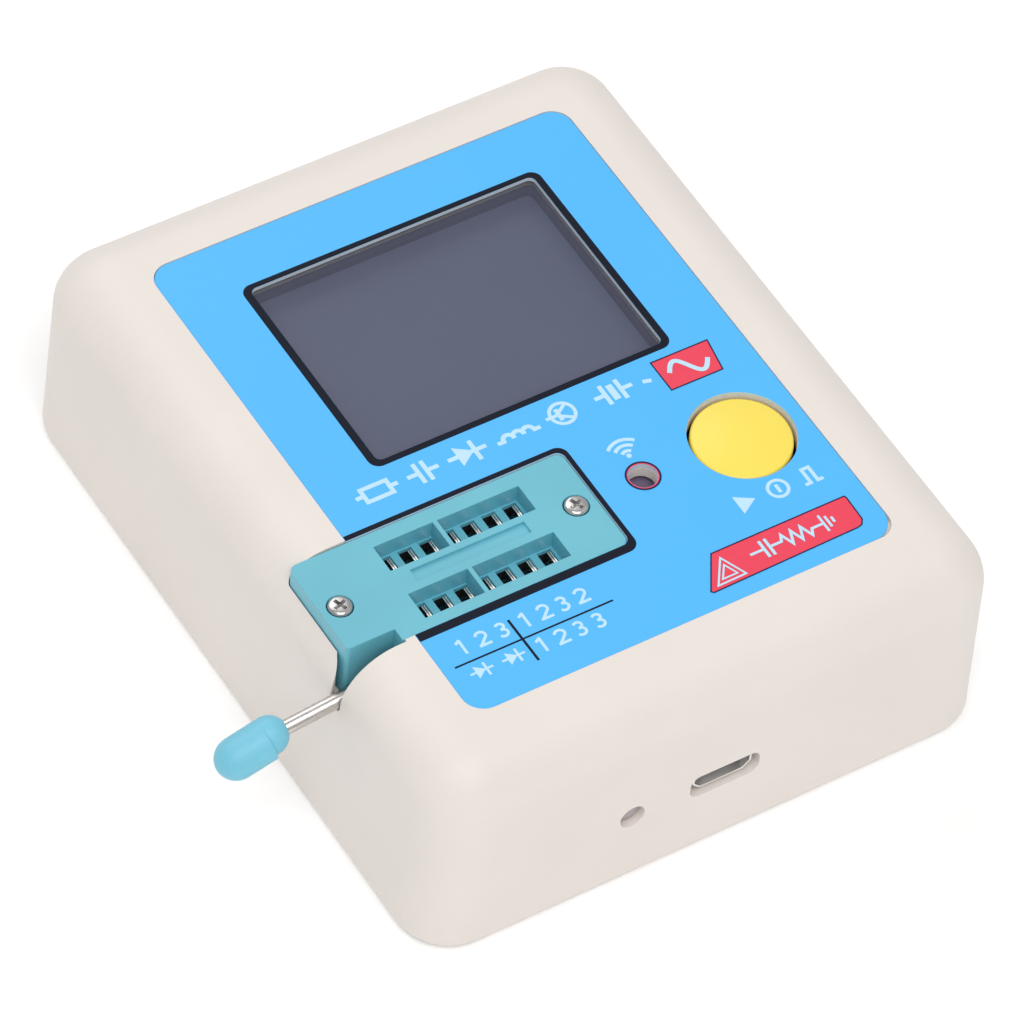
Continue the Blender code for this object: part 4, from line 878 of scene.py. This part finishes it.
def make_symbols():
    """Plain pictograms: resistor, capacitor, diode, coil, transistor and crystal, and a dash."""
    y, bold = -3.85, 0.52
    row = Print("print_symbols", WHITE_INK)
    row.strokes(-22.8, y, bold, lead(0.0, 1.0))
    row.outline(rectangle(-21.8, y - 0.9, -18.6, y + 0.9), bold)
    row.strokes(-22.8, y, bold, lead(4.2, 5.2))
    row.strokes(-16.4, y, bold, lead(0.0, 1.3), upright(1.45, 1.45), upright(2.45, 1.45), lead(2.6, 3.9))
    row.strokes(-11.3, y, bold, lead(0.0, 4.8))
    row.triangle(-10.1, y, 2.1, 1.4)
    row.strokes(-11.3, y, bold, upright(3.4, 1.45))
    row.strokes(-5.3, y - 0.5, bold, lead(0.0, 1.0))
    for i in range(3):
        row.stroke(arc((-3.85 + i * 1.25, y - 0.45), 0.66, 190, -10, 12), bold)
    row.strokes(-5.3, y - 0.5, bold, lead(4.4, 5.4))
    row.ring((3.2, y), 1.45, 0.42)
    row.strokes(3.2, y, bold, upright(-0.45, 0.85))
    row.strokes(3.2, y, 0.42, lead(-2.1, -0.45))
    row.strokes(3.2, y, 0.40, ((-0.45, 0.2), (0.8, 1.0)), ((-0.45, -0.2), (0.8, -1.0)))
    row.strokes(7.3, y, bold, lead(0.0, 1.2), upright(1.4, 1.45))
    row.shape(rectangle(9.3, y - 1.1, 10.1, y + 1.1))
    row.strokes(7.3, y, bold, upright(3.4, 1.45), lead(3.55, 4.8))
    row.stroke([(13.3, -4.12), (14.3, -4.38)], bold)
    row.build()


def make_captions():
    """Waves over the receiver, start symbols under the button, and the chart's two diodes."""
    row = Print("print_captions", WHITE_INK)
    for radius in (0.80, 1.60, 2.40):
        row.stroke(arc((6.45, -12.4), radius, 45, 135, 10), 0.42)
    row.shape(circle((6.45, -12.3), 0.30, 12))
    y = -23.7
    row.triangle(13.2, y, 2.15, 1.3)
    row.ring((18.3, y), 1.15, 0.40)
    row.strokes(18.3, y, 0.42, upright(0.0, 0.6))
    row.strokes(21.2, y, 0.42, ((0.0, -1.0), (0.7, -1.0), (0.7, 1.0), (1.6, 1.0), (1.6, -1.0), (2.3, -1.0)))
    y = -29.95
    for x in (-24.1, -20.2):
        row.strokes(x, y, 0.26, lead(-0.2, 2.6))
        row.triangle(x + 0.5, y, 1.2, 0.85)
        row.strokes(x, y, 0.28, upright(1.8, 0.9))
    row.build()


def make_badge_pulse():
    badge = Print("print_badge_pulse", WHITE_INK, 1)
    wave = []
    for i in range(25):
        share = i / 24
        wave.append((16.6 + 4.9 * share, -4.45 + 1.25 * math.sin(share * 2 * math.pi)))
    badge.stroke(wave, 0.55)
    badge.build()


def make_plate_symbol():
    """A double triangle, and a capacitor that empties through a resistor to ground."""
    symbol = Print("print_plate_symbol", WHITE_INK, 1)
    symbol.outline([(5.35, -32.05), (8.9, -32.0), (7.55, -28.9)], 0.22)
    symbol.outline([(6.25, -31.5), (8.1, -31.5), (7.4, -29.9)], 0.20)
    y = -30.1
    symbol.strokes(0.0, y, 0.32, lead(10.6, 12.3))
    symbol.strokes(0.0, y, 0.36, upright(12.4, 1.2), upright(13.1, 1.2))
    zigzag = [(15.0 + 0.62 * i, 0.8 if i % 2 == 0 else -0.8) for i in range(6)]
    symbol.strokes(0.0, y, 0.32, [*lead(13.2, 14.6), *zigzag, *lead(18.5, 19.9)])
    for x, reach in ((20.0, 1.2), (20.6, 0.8), (21.2, 0.4)):
        symbol.strokes(0.0, y, 0.30, upright(x, -reach))
    symbol.build()


def make_numerals():
    digits("print_digits_a", "123", -23.9, -27.3, 2.0, 2.45)
    digits("print_digits_b", "1232", -16.1, -27.3, 2.0, 2.32)
    digits("print_digits_c", "1233", -16.2, -31.0, 2.0, 2.32)


# ---- display

def make_sheet(name, slot, node, edge, corner, steps, angle, both_sides):
    """A sheet that fills its CAD node's box, with softened edges on its top, or on both sides."""
    low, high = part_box(node)
    size = (high.x - low.x, high.y - low.y)
    outline = rounded(*size, corner, steps, WINDOW_CENTRE)
    small = rounded(*grown(size, -edge), corner, steps, WINDOW_CENTRE)
    lower = [level(small, low.z), level(outline, low.z + edge)] if both_sides else [level(outline, low.z)]
    bm = bmesh.new()
    add_loft(bm, lower + [level(outline, high.z - edge), level(small, high.z)])
    make_piece(name, bm, "case", slot, node, angle)


def make_well():
    """Painted shade on the walls of the well between the display's glass and the window: two dark bands, the lower
    one darker, where the shell's cream walls lie in shadow.
    """
    outer = rounded(*grown(VIEW_SIZE, 0.08 * MM), VIEW_CORNER, 8, VIEW_CENTRE)
    inner = rounded(*VIEW_SIZE, VIEW_CORNER, 8, VIEW_CENTRE)
    heights = (GLASS_HIGH.z + 0.01 * MM, GLASS_HIGH.z + 0.75 * MM, WINDOW_LOW.z - 0.02 * MM)
    # painted shade: the lower band is the deeper shade at the foot of the well, the upper one the shadowed wall
    # above it
    bands = (("well_shade_deep", (0.135, 0.138, 0.200)), ("well_shade", (0.175, 0.175, 0.235)))
    for (name, colour), bottom, top in zip(bands, heights, heights[1:]):
        bm = bmesh.new()
        add_band(bm, outer, inner, bottom, top)
        shade_band = new_object(name, bm, moulded(name, colour, 0.50, 0.40, 0.002, 0.05))
        install(shade_band, "case", "black_plastic")


def make_display():
    make_sheet("window_sheet", "window_clear", "display_window", 0.08 * MM, 1.2 * MM, 8, 30, True)
    make_sheet("display_face", "lcd_glass", "lcd_glass", 0.15 * MM, 0.3 * MM, 3, 20, False)
    make_well()


# ---- button and receiver

def make_button_cap():
    """A moulded cap with a soft crown and a rounded rim, and a square pocket for the stem."""
    top, rim, rounding = TOP + 0.09 * MM, TOP - 0.50 * MM, 0.35 * MM
    inner = BUTTON_RADIUS - rounding
    profile = [(BUTTON_RADIUS, BUTTON_FOOT), (BUTTON_RADIUS, rim - rounding)]
    for i in range(1, 7):
        angle = math.radians(15 * i)
        profile.append((inner + rounding * math.cos(angle), rim - rounding * (1 - math.sin(angle))))
    for i in range(1, 15):
        share = 1 - i / 15
        profile.append((inner * share, rim + (top - rim) * (1 - share ** 2.3)))
    bm = bmesh.new()
    add_turned(bm, profile, 72, BUTTON_CENTRE)
    x, y = BUTTON_CENTRE
    half = 2.22 * MM
    pocket = bmesh.new()
    outline = rectangle(x - half, y - half, x + half, y + half)
    add_prism(pocket, outline, BUTTON_FOOT - 1.0 * MM, BUTTON_FOOT + 3.0 * MM)
    make_piece("start_cap", bm, "button", "button_plastic", "start_button", 32, [("DIFFERENCE", pocket)])


def make_receiver():
    """The receiver, and its domed lens as a smooth cap over the coarse one."""
    refined("ir_receiver", "receiver_body", "case", "black_plastic", 0.10 * MM, 2)
    radius = 3.24 * MM
    profile = [(radius, RECEIVER_TOP - 1.9 * MM)]
    for i in range(10):
        angle = math.radians(88 * i / 9)
        profile.append((radius * math.cos(angle), RECEIVER_TOP - 0.8 * MM + 0.83 * MM * math.sin(angle)))
    bm = bmesh.new()
    add_turned(bm, profile, 48, IR_CENTRE)
    lens = new_object("receiver_lens", bm, DOME)
    smooth(lens, 40)
    install(lens, "case", "black_plastic")


# ---- screws

def screw_profile(length, head_radius, head_height, shank_radius):
    """Point, thread and pan head of a screw whose head stands on z = 0."""
    pitch = 0.5 * MM
    root = shank_radius * 0.82
    profile = [(shank_radius * 0.25, -length), (shank_radius * 0.85, -length + 0.9 * MM)]
    for i in range(int((length - 1.2 * MM) / pitch)):
        z = -length + 1.0 * MM + pitch * i
        profile += [(root, z), (shank_radius, z + pitch * 0.45), (root, z + pitch * 0.9)]
    flank = head_height * 0.45
    profile += [(shank_radius * 0.9, -0.02 * MM), (head_radius * 0.96, 0.0), (head_radius, 0.06 * MM)]
    profile.append((head_radius, flank))
    for i in range(1, 7):
        angle = math.radians(15 * i)
        radius = head_radius * (0.66 + 0.34 * math.cos(angle))
        profile.append((radius, flank + (head_height - flank) * math.sin(angle)))
    return profile + [(head_radius * 0.30, head_height)]


def cross_recess(radius, height):
    """A tapered cross, turned a little, that opens at the head's top."""
    rings = []
    for share, z in ((0.30, height * 0.35), (0.62, height + 0.05 * MM), (0.66, height + 0.3 * MM)):
        reach, half = radius * share, radius * 0.13 * (0.6 + share)
        ring = []
        for quarter in range(4):
            turn = Matrix.Rotation(math.radians(90 * quarter + 20), 4, "Z")
            ring += [turn @ Vector((x, y, z)) for x, y in ((half, -half), (reach, -half), (reach, half))]
        rings.append(ring)
    bm = bmesh.new()
    add_loft(bm, rings)
    return bm


def make_screw(name, node, head_radius, head_height, shank_radius, points_up):
    """A pan-head screw with a cross recess, whose head faces up or down."""
    low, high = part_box(node)
    bm = bmesh.new()
    add_turned(bm, screw_profile(high.z - low.z - head_height, head_radius, head_height, shank_radius), 32)
    turn = Matrix.Identity(4) if points_up else Matrix.Rotation(math.pi, 4, "X")
    seat = high.z - head_height if points_up else low.z + head_height
    place = Matrix.Translation(((low.x + high.x) / 2, (low.y + high.y) / 2, seat)) @ turn
    recess = [("DIFFERENCE", cross_recess(head_radius, head_height))]
    make_piece(name, bm, "case", "screw_steel", node, 32, recess, place)


def make_screws():
    for side in ("left", "right"):
        make_screw(f"socket_cross_screw_{side}", f"socket_screw_{side}", 1.4 * MM, 0.9 * MM, 0.8 * MM, True)
    for number in range(1, 5):
        make_screw(f"case_cross_screw_{number}", f"case_screw_{number}", 2.5 * MM, 1.6 * MM, 1.3 * MM, False)


# ---- socket

def trough_cut(floor, high):
    """The four troughs, the middle recess and the screw seats, which open at the socket's top."""
    bm = bmesh.new()
    for middle in ROW_MIDDLES:
        for left, right in ((TROUGH_X[0], DIVIDER[0]), (DIVIDER[1], TROUGH_X[1])):
            add_prism(bm, rectangle(left, middle - TROUGH_HALF, right, middle + TROUGH_HALF), floor, OVER)
    add_prism(bm, rectangle(*RECESS[0], *RECESS[1]), high - RECESS_DEPTH, OVER)
    bore, seat = 1.0 * MM, high - SEAT_DEPTH
    for x in SOCKET_SCREWS_X:
        profile = [(bore, SOCKET_SPLIT - 1.0 * MM), (bore, seat), (SEAT_RADIUS, seat), (SEAT_RADIUS, OVER)]
        add_turned(bm, profile, 40, (x, SOCKET_MIDDLE))
    return bm


def room_cut(floor):
    """The slider's room under the top plate."""
    bm = bmesh.new()
    add_prism(bm, rectangle(*SLIDER_ROOM[0], *SLIDER_ROOM[1]), SOCKET_SPLIT - 1.0 * MM, floor - 0.5 * MM)
    return bm


def hole_cut(floor):
    """The rows of contact holes in the troughs' floors."""
    bm = bmesh.new()
    length, half = HOLE_SIZE[0], HOLE_SIZE[1] / 2
    for middle in ROW_MIDDLES:
        for i in range(7):
            left = HOLE_START + HOLE_PITCH * i
            hole = rectangle(left, middle - half, left + length, middle + half)
            add_prism(bm, hole, SOCKET_SPLIT, floor + 0.1 * MM)
    return bm


def shaft_cut():
    """The channel for the lever's shaft, open to the base."""
    x, z = LEVER_AXIS[0], LEVER_AXIS[2]
    reach = ROD_RADIUS + 0.2 * MM
    low = SOCKET_SPLIT - 1.0 * MM
    outline = arc((x, z), reach, 0, 180, 24) + [(x - reach, low), (x + reach, low)]
    bm = bmesh.new()
    add_loft(bm, [[(px, y, pz) for px, pz in outline] for y in (SOCKET_Y[0] - 1.0 * MM, SHAFT_END + 0.2 * MM)])
    return bm


def make_socket():
    """The socket's top, with deep troughs and a crisp rim, and its base."""
    high = COVER_HIGH.z
    floor = high - TROUGH_DEPTH
    bm = bmesh.new()
    rings = [level(socket_plan(), COVER_LOW.z), level(socket_plan(), high - 0.12 * MM)]
    add_loft(bm, rings + [level(socket_plan(0.04 * MM), high - 0.04 * MM), level(socket_plan(0.12 * MM), high)])
    cover = new_object("socket_top", bm, MATERIALS["socket_plastic"])
    for cutter in (room_cut(floor), trough_cut(floor, high), hole_cut(floor), shaft_cut()):
        combine(cover, "DIFFERENCE", cutter)
    clean(cover, 0.05)
    round_edges(cover, 0.07 * MM, 2, lambda point: abs(point.z - high) < 0.001 * MM, 60)
    smooth(cover, 32)
    install(cover, "case", "socket_plastic", "socket_cover")
    refined("socket_base", "socket_body", "case", "socket_plastic", 0.10 * MM, 1, None, 40)


def make_contact(name, node):
    """A folded strip: two leaves with rolled lips at the top, on a foot with a tail."""
    low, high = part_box(node)
    middle, half = (low.y + high.y) / 2, (high.y - low.y) / 2
    left, right, top = low.x, high.x, high.z
    leaf, lip = 0.17 * MM, 0.06 * MM
    foot, bridge = 16.5 * MM, 18.5 * MM
    outline = [
        (left + 0.02 * MM, foot), (right - 0.02 * MM, foot), (right, foot + 0.2 * MM),
        (right, top - 0.35 * MM), (right - lip * 0.4, top - 0.08 * MM), (right - lip * 1.2, top),
        (right - leaf - lip * 0.8, top - 0.05 * MM), (right - leaf, top - 0.4 * MM),
        (right - leaf, bridge), (left + leaf, bridge), (left + leaf, top - 0.4 * MM),
        (left + leaf + lip * 0.4, top - 0.12 * MM), (left + leaf - lip * 0.2, top - 0.03 * MM),
        (left + lip * 0.4, top - 0.08 * MM), (left, top - 0.35 * MM), (left, foot + 0.2 * MM),
    ]
    bm = bmesh.new()
    add_loft(bm, [[(x, y, z) for x, z in outline] for y in (middle - half, middle + half)])
    centre, across, along = (left + right) / 2, 0.18 * MM, 0.25 * MM
    tail = bmesh.new()
    section = rectangle(centre - across, middle - along, centre + across, middle + along)
    add_prism(tail, section, low.z, foot + 0.3 * MM)
    make_piece(name, bm, "case", "contact_metal", node, 40, [("UNION", tail)])


def make_contacts():
    for number in range(1, 15):
        make_contact(f"contact_spring_{number:02d}", f"socket_contact_{number:02d}")


# ---- lever

def arm_point(reach):
    """A point on the arm's axis at rest, from the lever's axis."""
    return Vector((-reach * math.cos(ARM_DIP), 0.0, -reach * math.sin(ARM_DIP)))


def tube(bm, path, radius, steps):
    """A round rod along a path that lies in the plane of the arm and the shaft."""
    side = Vector((math.sin(ARM_DIP), 0.0, -math.cos(ARM_DIP)))
    rings = []
    for i, point in enumerate(path):
        ahead = (path[min(i + 1, len(path) - 1)] - path[max(i - 1, 0)]).normalized()
        other = ahead.cross(side)
        share = 0.8 if i in (0, len(path) - 1) else 1.0
        ring = arc((0.0, 0.0), radius * share, 0, 360, steps)[:-1]
        rings.append([point + side * x + other * y for x, y in ring])
    add_loft(bm, rings)


def make_cams():
    """The two round lobes on the lever's shaft, built along Z and laid down along Y."""
    centre = (CAM_OFFSET * math.sin(CAM_REST), CAM_OFFSET * math.cos(CAM_REST))
    radius, edge = 1.4 * MM, 0.1 * MM
    bm = bmesh.new()
    for low, high in CAMS_Y:
        low, high = low - LEVER_AXIS[1], high - LEVER_AXIS[1]
        profile = [(radius - edge, low), (radius, low + edge), (radius, high - edge), (radius - edge, high)]
        add_turned(bm, profile, 40, centre)
    bmesh.ops.transform(bm, matrix=SWAP_YZ, verts=bm.verts)
    return bm


def make_rod():
    """A wire bent at a right angle, with the two cams on its shaft."""
    bend, chamfer, reach = 1.4 * MM, 0.12 * MM, 16.4 * MM
    along, inward = arm_point(1.0), Vector((0.0, 1.0, 0.0))
    end = SHAFT_END - LEVER_AXIS[1]
    path = [inward * end, inward * (end - chamfer)]
    for step in range(13):
        angle = math.radians(90 * step / 12)
        path.append(inward * bend * (1 - math.sin(angle)) + along * bend * (1 - math.cos(angle)))
    path += [along * (reach - chamfer), along * reach]
    bm = bmesh.new()
    tube(bm, path, ROD_RADIUS, 32)
    make_piece("lever_wire", bm, "lever", "tinned_metal", "lever_rod", 35, [("UNION", make_cams())],
               Matrix.Translation(LEVER_AXIS))


def grip_rings():
    """The knob along its own Z: a neck that sits a little off its axis, a soft step and the body."""
    half, radius, neck = 4.40 * MM, 2.4 * MM, 2.2 * MM
    step_at = 2.5 * MM - half
    parts = []                    # (is it the neck, radius, z)
    for i in range(10):
        angle = math.radians(8 + 82 * i / 9)
        parts.append((True, neck * math.sin(angle), neck * (1 - math.cos(angle)) - half))
    parts.append((True, neck, step_at - 0.02 * MM))
    parts.append((False, radius - 0.03 * MM, step_at + 0.12 * MM))
    parts.append((False, radius, step_at + 0.24 * MM))
    for i in range(12):
        angle = math.radians(90 - 84 * i / 11)
        parts.append((False, radius * math.sin(angle), half - 2.5 * MM * (1 - math.cos(angle))))
    neck_centre = (0.10 * MM, 0.15 * MM)
    return [level(circle(neck_centre if is_neck else (0.0, 0.0), size, 48), z) for is_neck, size, z in parts]


def make_grip():
    """The soft knob, pushed over the arm's end, where it sags a little."""
    bm = bmesh.new()
    add_loft(bm, grip_rings())
    tilt = Matrix.Rotation(-math.pi / 2 - ARM_DIP - math.radians(9.0), 4, "Y")
    place = Matrix.Translation(arm_point(16.2 * MM) + Vector((0.0, 0.0, -0.6 * MM)))
    bmesh.ops.transform(bm, matrix=place @ tilt, verts=bm.verts)
    bore = bmesh.new()
    tube(bore, [arm_point(reach * MM) for reach in (9.0, 9.2, 16.5, 16.7)], ROD_RADIUS + 0.06 * MM, 32)
    make_piece("lever_grip", bm, "lever", "knob_vinyl", "lever_knob", 35, [("DIFFERENCE", bore)],
               Matrix.Translation(LEVER_AXIS))


# ---- everything else

REFINED = {
    "usb_connector": ("port_shell", "tinned_metal", 0.05),
    "main_board": ("circuit_board", "board_laminate", 0.06),
    "microcontroller": ("controller_package", "black_plastic", 0.05),
    "voltage_reference": ("reference_package", "black_plastic", 0.05),
    "charger_chip": ("charger_package", "black_plastic", 0.05),
    "start_switch_body": ("switch_housing", "black_plastic", 0.08),
    "lcd_backlight": ("display_light_guide", "white_plastic", 0.10),
    "lcd_board": ("display_carrier", "board_laminate", 0.06),
    "lcd_header": ("display_header", "black_plastic", 0.06),
    "battery_socket": ("battery_receptacle", "white_plastic", 0.10),
    "battery_plug": ("battery_connector", "white_plastic", 0.10),
    "battery_board": ("battery_guard", "board_laminate", 0.05),
}


def make_inner_parts():
    for node, (name, slot, width) in REFINED.items():
        made = refined(node, name, "case", slot, width * MM, 1)
        if node == "usb_connector":
            made.data.materials[0] = PORT_METAL


def finish_nodes():
    """Every CAD node that still shows gets the material of its slot."""
    for row in frame["record"]["subparts"]:
        node = NODES[row["node"]]
        node.data.materials.clear()
        node.data.materials.append(MATERIALS[row["material_slot"]])


# ---- studio

CAMERA = {"azimuth": -36.8795, "elevation": 50.3905, "roll": 7.0099, "distance": 0.80101, "lens": 251.83}
TARGET = Vector((4.7235 * MM, 5.0226 * MM, 0.0))


def make_camera():
    azimuth, elevation = math.radians(CAMERA["azimuth"]), math.radians(CAMERA["elevation"])
    back = Vector((math.sin(azimuth) * math.cos(elevation), -math.cos(azimuth) * math.cos(elevation),
                   math.sin(elevation)))
    data = bpy.data.cameras.new("camera")
    data.lens = CAMERA["lens"]
    data.sensor_width = 36.0
    data.clip_start, data.clip_end = 0.01, 20.0
    camera = bpy.data.objects.new("camera", data)
    bpy.context.scene.collection.objects.link(camera)
    camera.rotation_mode = "QUATERNION"
    camera.location = TARGET + back * CAMERA["distance"]
    unrolled = (-back).to_track_quat("-Z", "Y").to_matrix().to_4x4()
    turn = Matrix.Rotation(math.radians(CAMERA["roll"]), 4, "Z")
    camera.rotation_quaternion = (unrolled @ turn).to_quaternion()
    bpy.context.scene.camera = camera


def area_light(name, place, size, power, colour=(1.0, 1.0, 1.0)):
    data = bpy.data.lights.new(name, "AREA")
    data.shape = "RECTANGLE"
    data.size, data.size_y = size
    data.energy = power
    data.color = colour
    made = bpy.data.objects.new(name, data)
    made.location = place
    made.rotation_mode = "QUATERNION"
    made.rotation_quaternion = (-Vector(place)).to_track_quat("-Z", "Y")
    bpy.context.scene.collection.objects.link(made)


def make_floor():
    bm = bmesh.new()
    add_prism(bm, rounded(6.0, 6.0, 0.5, 8), -0.02, -0.00002)
    tree = Tree("floor_paper")
    grain = tree.noise(1.5, 3.0)
    tree.link(tree.blend(tree.remap(grain, 0.3, 0.7), (0.940, 0.940, 0.942), (0.955, 0.955, 0.956)), "Base Color")
    tree.set(Roughness=0.9, Emission_Color=(1.0, 1.0, 1.0), Emission_Strength=0.10)
    floor = new_object("floor", bm, tree.material)


def make_world():
    world = bpy.data.worlds.new("studio")
    world.use_nodes = True
    background = world.node_tree.nodes["Background"]
    background.inputs["Color"].default_value = (1.0, 1.0, 1.0, 1.0)
    background.inputs["Strength"].default_value = 0.50
    bpy.context.scene.world = world


def make_studio():
    make_camera()
    make_floor()
    make_world()
    area_light("key", (-0.18, -0.45, 0.88), (0.7, 0.7), 4.9)
    area_light("fill", (0.60, -0.30, 0.70), (0.8, 0.8), 0.3)
    area_light("back", (-0.05, 0.70, 0.75), (0.9, 0.6), 2.8)
    bpy.context.scene.view_settings.view_transform = "Standard"


# ---- build

for make in (make_case, make_bottom, make_film, make_borders, make_plates, make_symbols, make_captions,
             make_badge_pulse, make_plate_symbol, make_numerals, make_display, make_button_cap, make_receiver,
             make_screws, make_socket, make_contacts, make_rod, make_grip, make_inner_parts, finish_nodes,
             make_studio):
    make()
